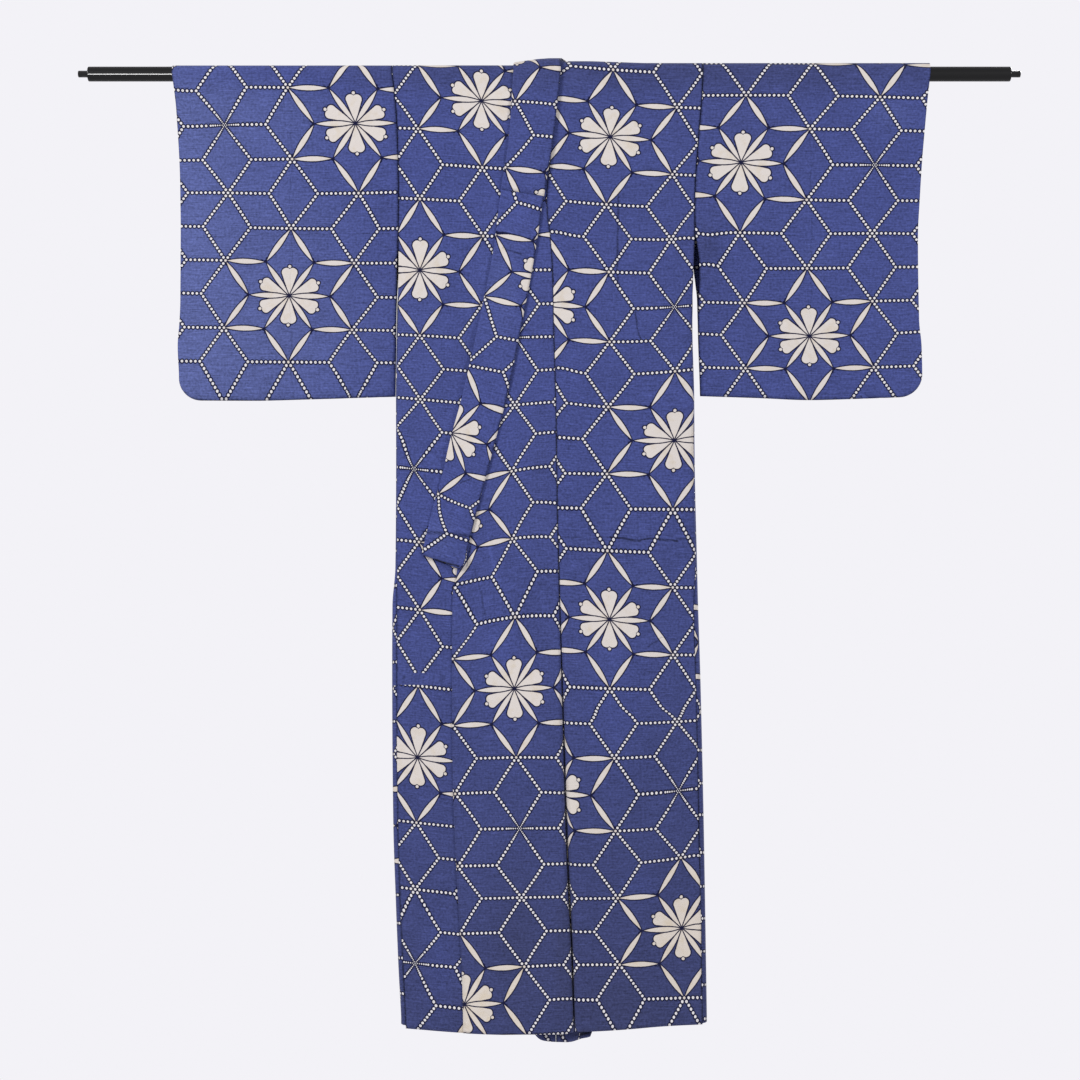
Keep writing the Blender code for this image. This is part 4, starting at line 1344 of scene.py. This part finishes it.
def dotted_lattice(tree, place, cloth):
    """The rows of dots along every edge of the lattice, smaller and closer towards the fine stars."""
    ranges = []
    for column, row in FINE_STARS:
        moved = from_nearest(tree, place, (column * COLUMN, row * HALF_ROW, 0), REPEAT_REACH)
        ranges.append(add(tree, VECTOR, (moved,), 1, operation="LENGTH"))
    from_star = add(tree, MATH, ranges, operation="MINIMUM")
    radius = cloth.dot_diameter / MM / 2
    shrink = add(tree, RANGE, (from_star, *SHRINKING, SMALLEST * radius, radius))
    sparse = add(tree, MATH, (from_star, DENSE_REACH), operation="GREATER_THAN")
    found = []
    for centre in ((0, 0, 0), (COLUMN, HALF_ROW, 0)):
        moved = from_nearest(tree, place, centre, (COLUMN, HALF_ROW, 1))
        folded = add(tree, VECTOR, (moved,), operation="ABSOLUTE")
        for end, count in (((SPOKE, 0), SPOKE_DOTS), ((COLUMN - SPOKE, HALF_ROW), SLANT_DOTS)):
            length = math.hypot(*end)
            along, aside = along_and_aside(tree, folded, (end[0] / length, end[1] / length, 0))
            quarter = length / count / 4
            pitch = add(tree, MATH, (sparse, quarter, quarter), operation="MULTIPLY_ADD")
            near = add(tree, MATH, (along, pitch), operation="PINGPONG")
            inside = add(tree, MATH, (shrink, distance(tree, near, aside)), operation="SUBTRACT")
            left = add(tree, MATH, (length + radius, along), operation="SUBTRACT")
            found.append(add(tree, MATH, (inside, left), operation="MINIMUM"))
    return largest(tree, found)


def stencilled(tree, place, cloth):
    """How far inside the print's white shapes a place lies, how far inside a dot, and if in one."""
    # The stencil's edges wobble a little, as dye creeps along the threads
    wobble = add(tree, NOISE, (place, None, 0.45, 2.0), 1)
    wobble = add(tree, VECTOR, (wobble, (0.5, 0.5, 0.5)), operation="SUBTRACT")
    drawn = add(tree, VECTOR, (wobble, (0.7, 0.7, 0.0), place), operation="MULTIPLY_ADD")
    star, within = blossom_star(tree, nearest_blossom(tree, drawn), cloth)
    beyond = add(tree, MATH, (within, -1, -STAR_MARGIN), operation="MULTIPLY_ADD")
    dots = add(tree, MATH, (dotted_lattice(tree, drawn, cloth), beyond), operation="MINIMUM")
    inside = add(tree, MATH, (star, dots), operation="MAXIMUM")
    bare_band = add(tree, ATTRIBUTE, (), 2, attribute_name="bare")
    inside = add(tree, MATH, (bare_band, -99.0, inside), operation="MULTIPLY_ADD")
    return inside, dots, add(tree, MATH, (dots, star), operation="GREATER_THAN")


def pressed_creases(tree):
    """How far the sharp creases left by folding lift the cloth, in millimetres."""
    here = add(tree, "ShaderNodeTexCoord", (), 3)
    x, depth, height = (add(tree, PARTS, (here,), i) for i in range(3))
    side = add(tree, MATH, (depth,), operation="SIGN")
    spot = add(tree, "ShaderNodeCombineXYZ", (x, side, height))
    spot = add(tree, VECTOR, (spot, None, None, 1 / MM), operation="SCALE")

    # They wander off the straight by a millimetre or two
    wander = add(tree, NOISE, (spot, None, 0.035, 1.0), 1)
    wander = add(tree, VECTOR, (wander, (0.5, 0.5, 0.5)), operation="SUBTRACT")
    spot = add(tree, VECTOR, (wander, (9.0, 0.0, 9.0), spot), operation="MULTIPLY_ADD")
    pressed = 0.0
    for x0, z0, x1, z1, half_width, rise, on_side in PRESSED:
        length = math.dist((x0, z0), (x1, z1))
        direction = ((x1 - x0) / length, 0, (z1 - z0) / length)
        start = add(tree, VECTOR, (spot, (x0, on_side / MM, z0)), operation="SUBTRACT")
        along = add(tree, VECTOR, (start, direction), 1, operation="DOT_PRODUCT")
        along = add(tree, "ShaderNodeClamp", (along, 0.0, length))
        foot = add(tree, VECTOR, (direction, None, None, along), operation="SCALE")
        off = add(tree, VECTOR, (start, foot), 1, operation="DISTANCE")
        lifted = add(tree, RANGE, (off, 0, half_width, rise, 0), interpolation_type="SMOOTHSTEP")
        pressed = add(tree, MATH, (pressed, lifted), operation="ADD")
    return pressed


def cotton_material(cloth):
    """Indigo-dyed plain-weave cotton: matt, faintly slubbed, with paste-resist ivory motifs."""
    values = {"Roughness": 0.88, "Sheen Weight": 0.12, "Sheen Roughness": 0.5, "Specular IOR Level": 0.15}
    material, tree, shader = new_material("indigo_dyed_cotton", values)
    chart = add(tree, "ShaderNodeUVMap", uv_map="print")
    place = add(tree, VECTOR, (chart, None, None, 1 / MM), operation="SCALE")
    inside, dots, in_dot = stencilled(tree, place, cloth)
    pressed = pressed_creases(tree)
    hem, seam, lightness_and_shade = (add(tree, ATTRIBUTE, (), 2, attribute_name=name) for name in ("hem", "seam", "lightness_and_shade"))

    # Tone of the ground: uneven dye, with painted shade in a crease and along a seam or edge, and a painted
    # highlight on a ridge
    tone_and_shade = add(tree, MATH, (pressed, 0.45, 1.0), operation="MULTIPLY_ADD")
    noises = []
    for across, down, detail, roughness, low, high, darkest, lightest in DYE_TONES:
        spread = add(tree, VECTOR, (place, (across, down, 1.0)), operation="MULTIPLY")
        noises.append(add(tree, NOISE, (spread, None, 1.0, detail, roughness)))
        part = add(tree, RANGE, (noises[-1], low, high, darkest, lightest))
        tone_and_shade = add(tree, MATH, (tone_and_shade, part), operation="ADD")
    slubs = noises[0]
    # Painted shade within a few millimetres of a seam or a cut edge
    edge = add(tree, RANGE, (seam, 0.4, 2.6, -0.45, 0.0))
    tone_and_shade = add(tree, MATH, (tone_and_shade, edge), operation="ADD")

    # Colour of the ground, from darkest to lightest by the lightness attribute, which carries the painted
    # shade over the rod, and the dark line round each motif
    ground = linear(cloth.deep_hex)
    for low, high, code in ((0.0, 0.45, cloth.indigo_hex), (0.45, 1.0, cloth.faded_hex)):
        share = add(tree, RANGE, (lightness_and_shade, low, high, 0.0, 1.0))
        ground = add(tree, MIX, (share, *SKIPPED, ground, linear(code)), 2, data_type="RGBA")
    ground = add(tree, VECTOR, (ground, None, None, tone_and_shade), operation="SCALE")
    outline = cloth.outline_width / MM
    dark = add(tree, RANGE, (inside, -outline - 0.35, -outline + 0.35, 0.0, 1.0))
    ground = add(tree, MIX, (dark, *SKIPPED, ground, linear(cloth.outline_hex)), 2, data_type="RGBA")

    # Undyed cotton: yellowed in places, and more where the ground is darkest, over the rod as painted shade
    # and towards the hem; whiter in the dots, with specks of dye in some of them
    stain = add(tree, NOISE, (place, None, 0.05, 3.0, 0.6))
    stain = add(tree, RANGE, (stain, 0.5, 0.75, 0.0, 0.6))
    yellowing_where_darker = add(tree, RANGE, (lightness_and_shade, 0.0, 0.3, 0.4, 0.0))
    stain = add(tree, MATH, (stain, yellowing_where_darker), operation="ADD")
    speck = add(tree, RANGE, (dots, 1.1, 1.7, 0.0, 0.5))
    speckled = add(tree, NOISE, (place, None, 0.16, 1.0))
    speckled = add(tree, RANGE, (speckled, 0.5, 0.6, 0.0, 1.0))
    speck = add(tree, MATH, (speck, speckled), operation="MULTIPLY")
    ivory = linear(cloth.ivory_hex)
    yellowed, whiter = linear(cloth.yellowed_hex), linear(cloth.dot_hex)
    for share, over in ((stain, yellowed), (in_dot, whiter), (speck, ground)):
        ivory = add(tree, MIX, (share, *SKIPPED, ivory, over), 2, data_type="RGBA")
    white = add(tree, RANGE, (inside, -0.15, 0.25, 0.0, 1.0))
    colour = add(tree, MIX, (white, *SKIPPED, ground, ivory), 2, data_type="RGBA")
    tree.links.new(colour, shader.inputs["Base Color"])

    # Plain weave, drawn at 0.9 mm so that it shows, with the slubs, crinkles and creases over it
    thread = add(tree, VECTOR, (place, (math.pi / 0.9,) * 3), operation="MULTIPLY")
    ends, picks = (add(tree, PARTS, (thread,), i) for i in (0, 1))
    ends, picks = (add(tree, MATH, (wave,), operation="SINE") for wave in (ends, picks))
    weave = add(tree, MATH, (ends, picks), operation="MULTIPLY")
    relief = add(tree, MATH, (weave, 0.03), operation="MULTIPLY")
    crinkle = add(tree, NOISE, (place, None, 0.07, 4.0, 0.62))
    for part, height in ((slubs, 0.25), (crinkle, 1.6), (pressed, 1.6)):
        relief = add(tree, MATH, (part, height, relief), operation="MULTIPLY_ADD")

    # Folded hems stand a little proud as far as their stitching, and sewn edges pucker
    ridge = add(tree, RANGE, (hem, 13.0, 15.5, 0.45, 0.0), interpolation_type="SMOOTHSTEP")
    relief = add(tree, MATH, (relief, ridge), operation="ADD")
    near_seam = add(tree, RANGE, (seam, 0.0, 9.0, 1.0, 0.0), interpolation_type="SMOOTHSTEP")
    down = add(tree, PARTS, (place,), 1)
    puckers = add(tree, MATH, (down, 0.9), operation="MULTIPLY")
    puckers = add(tree, MATH, (puckers,), operation="SINE")
    puckers = add(tree, MATH, (puckers, near_seam), operation="MULTIPLY")
    relief = add(tree, MATH, (puckers, 0.12, relief), operation="MULTIPLY_ADD")
    bump = add(tree, "ShaderNodeBump", (0.6, MM, None, relief))
    tree.links.new(bump, shader.inputs["Normal"])
    return material


def rod_material(rod):
    """Steel under black lacquer, sprayed and baked: deep black, smooth, with a thin bright line."""
    values = {
        "Base Color": linear(rod.colour_hex),
        "Specular IOR Level": 0.05,
        "Coat Weight": 0.9,
        "Coat Roughness": 0.06,
    }
    material, tree, shader = new_material("black_lacquered_steel", values)
    place = add(tree, "ShaderNodeTexCoord", (), 3)
    grain = add(tree, NOISE, (place, None, 900.0, 2.0))
    rubbed = add(tree, RANGE, (grain, 0.3, 0.7, 0.34, 0.46))
    tree.links.new(rubbed, shader.inputs["Roughness"])
    bump = add(tree, "ShaderNodeBump", (0.05, 0.00005, None, grain))
    tree.links.new(bump, shader.inputs["Normal"])
    return material


def floor_material():
    """Matt pale paint, rolled on, for the studio floor."""
    values = {"Base Color": linear("#E6E5EA"), "Roughness": 0.9}
    return new_material("pale_matt_paint", values)[0]


def cotton(cloth):
    """The one cotton of all the cloth pieces, made when the first of them asks for it."""
    return bpy.data.materials.get("indigo_dyed_cotton") or cotton_material(cloth)


# Sizes and colours that a user would change


class KimonoCloth(bpy.types.PropertyGroup):
    thickness: bpy.props.FloatProperty(
        name="Thickness", description="Thickness of the cotton", default=0.0007, min=0.0003, unit="LENGTH"
    )
    detail: bpy.props.FloatProperty(
        name="Detail", description="Spacing of the mesh's rows", default=0.006, min=0.003, unit="LENGTH"
    )
    leaf_width: bpy.props.FloatProperty(
        name="Leaf width", description="Widest part of a printed leaf", default=0.0078, unit="LENGTH"
    )
    petal_length: bpy.props.FloatProperty(
        name="Petal length", description="From a blossom's middle to the tips of its petals",
        default=0.0427, unit="LENGTH",
    )
    dot_diameter: bpy.props.FloatProperty(
        name="Dot diameter", description="Size of the lattice's dots", default=0.0040, unit="LENGTH"
    )
    outline_width: bpy.props.FloatProperty(
        name="Outline width", description="Dark line round each motif", default=0.0018, unit="LENGTH"
    )
    indigo_hex: bpy.props.StringProperty(
        name="Indigo", description="Colour of the ground, sRGB", default="#495391"
    )
    # The deep and the faded indigo are the two ends of the ground's lightness; the deep end also serves as
    # painted shade over the rod
    deep_hex: bpy.props.StringProperty(
        name="Deep indigo", description="Least faded ground, sRGB", default="#3D436C"
    )
    faded_hex: bpy.props.StringProperty(
        name="Faded indigo", description="Most faded ground, sRGB", default="#616CA5"
    )
    outline_hex: bpy.props.StringProperty(
        name="Outline", description="Colour of the outlines, sRGB", default="#14163A"
    )
    ivory_hex: bpy.props.StringProperty(
        name="Ivory", description="Colour of the motifs, sRGB", default="#E9E1DB"
    )
    yellowed_hex: bpy.props.StringProperty(
        name="Yellowed ivory", description="Motifs where they have yellowed, sRGB", default="#DDCDB2"
    )
    dot_hex: bpy.props.StringProperty(name="Dots", description="Colour of the dots, sRGB", default="#F3F0F1")


class KimonoRod(bpy.types.PropertyGroup):
    radius: bpy.props.FloatProperty(
        name="Radius", description="Radius of the rod", default=ROD_HIGH.z, unit="LENGTH"
    )
    half_length: bpy.props.FloatProperty(
        name="Half length", description="From the middle to the end of a pin",
        default=ROD_HIGH.x, unit="LENGTH",
    )
    pin_radius: bpy.props.FloatProperty(
        name="Pin radius", description="Radius of the thinner ends", default=0.005, unit="LENGTH"
    )
    pin_length: bpy.props.FloatProperty(
        name="Pin length", description="Length of the thinner ends", default=0.015, unit="LENGTH"
    )
    bevel: bpy.props.FloatProperty(
        name="Bevel", description="Radius of the rod's rounded edges", default=0.0012, unit="LENGTH"
    )
    pin_bevel: bpy.props.FloatProperty(
        name="Pin bevel", description="Width of the bevel at the pins' ends", default=0.0006, unit="LENGTH"
    )
    colour_hex: bpy.props.StringProperty(name="Colour", description="Lacquer, sRGB", default="#0A0A0B")


class KimonoStage(bpy.types.PropertyGroup):
    distance: bpy.props.FloatProperty(
        name="Camera distance", description="From the camera to the cloth", default=3.1, unit="LENGTH"
    )
    view_width: bpy.props.FloatProperty(
        name="View width", description="Width of the picture at the cloth", default=1.6152, unit="LENGTH"
    )
    aim_x: bpy.props.FloatProperty(
        name="Aim across", description="Where the camera looks, across", default=-0.0140, unit="LENGTH"
    )
    aim_z: bpy.props.FloatProperty(
        name="Aim height", description="Where the camera looks, in height", default=-0.7013, unit="LENGTH"
    )
    floor_drop: bpy.props.FloatProperty(
        name="Floor", description="Depth of the floor under the rod", default=1.75, unit="LENGTH"
    )
    floor_thickness: bpy.props.FloatProperty(
        name="Floor thickness", description="How thick the floor is", default=0.02, unit="LENGTH"
    )
    floor_radius: bpy.props.FloatProperty(
        name="Floor radius", description="Size of the round floor", default=0.86, unit="LENGTH"
    )
    ambient: bpy.props.FloatProperty(
        name="Ambient", description="Light from the studio all round", default=0.40, subtype="FACTOR"
    )
    key_power: bpy.props.FloatProperty(
        name="Key light", description="Power of the soft key", default=163.0, unit="POWER"
    )
    gloss_power: bpy.props.FloatProperty(
        name="Gloss light", description="Power of the strip that draws the rod's bright line", default=200.0,
        unit="POWER",
    )


# Operators


class KIMONO_OT_body_lengths(bpy.types.Operator):
    """Two lengths of cloth from the front hem over the shoulder to the back hem"""

    bl_idname = "kimono.body_lengths"
    bl_label = "Body Lengths"

    def execute(self, context):
        cloth = context.scene.kimono_cloth
        for name, left in (("body_left", True), ("body_right", False)):
            grid, rod_row = body_sheet(left, cloth.detail / MM)
            across = across_from(grid, PRINT[name][0])
            down = runs(grid * (0, 1, 1), 0)
            down = down[rod_row] - down
            down[: rod_row + 1] = -grid[: rod_row + 1, :, 2]
            places = print_place(name, grid, across, down)
            hem, seam = nearer_end(grid, 0), nearer_end(grid, 1)
            cloth_piece(cloth, name, grid, places, hem, seam)
        return {"FINISHED"}


class KIMONO_OT_overlap_strips(bpy.types.Operator):
    """The narrow strips sewn to the fronts' inner edges"""

    bl_idname = "kimono.overlap_strips"
    bl_label = "Overlap Strips"

    def execute(self, context):
        cloth = context.scene.kimono_cloth
        for name, left in (("okumi_left", True), ("okumi_right", False)):
            grid = okumi_sheet(left, cloth.detail / MM)
            seam = runs(grid, 1)
            across = (-1 if left else 1) * seam - PRINT[name][0]
            places = print_place(name, grid, across, -grid[..., 2])
            hem = np.minimum(runs(grid, 0), runs_back(grid, 1) + NARROWER["front_edge"])
            cloth_piece(cloth, name, grid, places, hem, seam)
        return {"FINISHED"}


class KIMONO_OT_sleeves(bpy.types.Operator):
    """The square sleeves with their round lower corners, open at the cuff"""

    bl_idname = "kimono.sleeves"
    bl_label = "Sleeves"

    def execute(self, context):
        cloth = context.scene.kimono_cloth
        for name, left in (("sleeve_left", True), ("sleeve_right", False)):
            grid = sleeve_sheet(left, cloth.detail / MM)
            closed = np.concatenate([grid, grid[:, :1]], axis=1)
            along = runs(closed, 1)
            top = int(np.argmax(grid[0, : grid.shape[1] // 2, 2] >= 0))
            down = along[:, top : top + 1] - along
            down[:, : top + 1] = -grid[:, : top + 1, 2]
            down[:, -1] = down[:, -2] - 1
            places = print_place(name, closed, closed[..., 0] - PRINT[name][0], down)
            hem = runs_back(grid, 0) + NARROWER["cuff"]
            seam = np.minimum(nearer_end(closed, 1)[:, :-1], nearer_end(grid, 0))
            cloth_piece(cloth, name, grid, places, hem, seam, ring=True)
        return {"FINISHED"}


class KIMONO_OT_collar(bpy.types.Operator):
    """The long strip folded double round the neck, and the shorter one over it"""

    bl_idname = "kimono.collar"
    bl_label = "Collar and Over-collar"

    def execute(self, context):
        cloth = context.scene.kimono_cloth
        middle, first, shoulder = band_sheet(cloth.detail / MM, np.linspace(0, 1, BAND_COLUMNS))
        folded = folded_band(middle, BAND - cloth.thickness / MM - BAND_SPARE, BAND_PLUMP)
        over = wrapped_overlay(middle[first : len(middle) - first], OVERLAY_STEP)
        near_end = np.exp(-np.arange(len(over)) / OVERLAY_END_ROWS)[:, None]
        over[:, :BAND_COLUMNS, 2] -= OVERLAY_END_SLANT * near_end * np.linspace(1, 0, BAND_COLUMNS)
        # Name, points, row on the rod, column that the print is counted from, seam, cut, what is below
        for name, grid, rod_row, turn, seam, flat, below in (
            ("collar", folded, shoulder, BAND_COLUMNS + 1, nearer_end(folded, 1), (0.14, 2.0), "body_left"),
            ("over_collar", over, shoulder - first, BAND_COLUMNS - 1, runs(over, 1), (0.075, 0.8), "collar"),
        ):
            from_sewn = runs(grid, 1)
            across = from_sewn[:, turn : turn + 1] - from_sewn - PRINT[name][0]
            places = print_place(name, grid, across, down_the_collar(grid, rod_row))
            hem = nearer_end(grid, 0) + NARROWER[name]
            cloth_piece(cloth, name, grid, places, hem, seam)
        return {"FINISHED"}


class KIMONO_OT_rod(bpy.types.Operator):
    """The round lacquered rod with a thinner pin at each end"""

    bl_idname = "kimono.rod"
    bl_label = "Rod"

    def execute(self, context):
        rod = context.scene.kimono_rod
        shoulder = rod.half_length - rod.pin_length
        bevel = [
            (shoulder - rod.bevel * (1 - math.sin(a)), rod.radius - rod.bevel * (1 - math.cos(a)))
            for a in np.radians((0, 30, 60, 90))
        ]
        right = [*bevel, (shoulder, rod.pin_radius)]
        right += [(rod.half_length - rod.pin_bevel, rod.pin_radius)]
        right += [(rod.half_length, rod.pin_radius - rod.pin_bevel), (rod.half_length, 0.0)]
        outline = [(-x, r) for x, r in reversed(right)] + right
        mesh = bpy.data.meshes.new("lacquered_rod")
        edges = [(i, i + 1) for i in range(len(outline) - 1)]
        mesh.from_pydata([(x, 0, r) for x, r in outline], edges, [])
        piece = bpy.data.objects.new("lacquered_rod", mesh)
        context.scene.collection.objects.link(piece)
        bpy.data.collections["glossy_pieces"].objects.link(piece)
        turned = piece.modifiers.new("Turned", "SCREW")
        turned.axis = "X"
        turned.steps = turned.render_steps = 64
        turned.use_merge_vertices = True
        turned.merge_threshold = 0.00001
        turned.use_normal_calculate = True
        mesh.materials.append(rod_material(rod))
        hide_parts("rod")
        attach(piece, "root")
        return {"FINISHED"}


class KIMONO_OT_stage(bpy.types.Operator):
    """Pale round floor, soft studio light and the camera straight in front"""

    bl_idname = "kimono.stage"
    bl_label = "Stage"

    def execute(self, context):
        scene, stage = context.scene, context.scene.kimono_stage
        scene.view_settings.view_transform = "Standard"
        bpy.ops.mesh.primitive_cylinder_add(
            vertices=96, radius=stage.floor_radius, depth=stage.floor_thickness,
            location=(0, 0, -stage.floor_drop - stage.floor_thickness / 2),
        )
        floor = context.object
        floor.name = "studio_floor"
        floor.data.materials.append(floor_material())
        world = bpy.data.worlds.new("pale_studio")
        world.use_nodes = True
        sky = world.node_tree.nodes["Background"]
        sky.inputs["Color"].default_value = linear("#F3F2F7")
        seen = add(world.node_tree, "ShaderNodeLightPath")
        glow = add(world.node_tree, "ShaderNodeMapRange", (seen, 0, 1, stage.ambient, 1.0))
        world.node_tree.links.new(glow, sky.inputs["Strength"])
        scene.world = world
        glossy = bpy.data.collections.new("glossy_pieces")
        aim = (stage.aim_x, 0.0, stage.aim_z)
        # Name, place, width, height and power of each lamp; the last one lights the rod alone
        for name, place, width, height, power in (
            ("key_light", (-3.9, -3.2, 1.6), 1.5, 1.5, stage.key_power),
            ("fill_light", (4.1, -3.4, 0.6), 1.3, 1.3, stage.key_power * 0.56),
            ("back_light", (3.0, 4.2, 1.6), 1.6, 1.6, stage.key_power * 0.9),
            ("gloss_light", (-0.9, -3.6, -0.8), 3.4, 0.45, stage.gloss_power),
        ):
            light = bpy.data.lights.new(name, "AREA")
            light.shape = "RECTANGLE"
            light.size = width
            light.size_y = height
            light.energy = power
            lamp = bpy.data.objects.new(name, light)
            lamp.location = place
            lamp.rotation_euler = (Vector(aim) - Vector(place)).to_track_quat("-Z", "Y").to_euler()
            lamp.visible_camera = False
            if name == "gloss_light":
                lamp.light_linking.receiver_collection = glossy
            scene.collection.objects.link(lamp)
        lens = bpy.data.cameras.new("camera")
        lens.sensor_width = 36
        lens.lens = lens.sensor_width * stage.distance / stage.view_width
        camera = bpy.data.objects.new("camera", lens)
        camera.location = (stage.aim_x, -stage.distance - CLOTH_FRONT * MM, stage.aim_z)
        camera.rotation_euler = (math.pi / 2, 0, 0)
        scene.collection.objects.link(camera)
        scene.camera = camera
        return {"FINISHED"}


class KIMONO_PT_panel(bpy.types.Panel):
    """Lists the pieces of the kimono"""

    bl_idname = "KIMONO_PT_panel"
    bl_label = "Summer Kimono"
    bl_space_type = "VIEW_3D"
    bl_region_type = "UI"
    bl_category = "Kimono"

    def draw(self, context):
        layout, scene = self.layout, context.scene
        for group in (scene.kimono_cloth, scene.kimono_rod, scene.kimono_stage):
            box = layout.box()
            for name in group.bl_rna.properties.keys():
                if name not in ("rna_type", "name"):
                    box.prop(group, name)
        for operator in OPERATORS:
            layout.operator(operator.bl_idname)


OPERATORS = (
    KIMONO_OT_stage,
    KIMONO_OT_body_lengths,
    KIMONO_OT_overlap_strips,
    KIMONO_OT_sleeves,
    KIMONO_OT_collar,
    KIMONO_OT_rod,
)
CLASSES = (KimonoCloth, KimonoRod, KimonoStage, *OPERATORS, KIMONO_PT_panel)


def register():
    for cls in CLASSES:
        bpy.utils.register_class(cls)
    bpy.types.Scene.kimono_cloth = bpy.props.PointerProperty(type=KimonoCloth)
    bpy.types.Scene.kimono_rod = bpy.props.PointerProperty(type=KimonoRod)
    bpy.types.Scene.kimono_stage = bpy.props.PointerProperty(type=KimonoStage)


def unregister():
    del bpy.types.Scene.kimono_stage
    del bpy.types.Scene.kimono_rod
    del bpy.types.Scene.kimono_cloth
    for cls in reversed(CLASSES):
        bpy.utils.unregister_class(cls)


def main():
    register()
    bpy.ops.kimono.stage()
    bpy.ops.kimono.body_lengths()
    bpy.ops.kimono.overlap_strips()
    bpy.ops.kimono.sleeves()
    bpy.ops.kimono.collar()
    bpy.ops.kimono.rod()


if __name__ == "__main__":
    main()
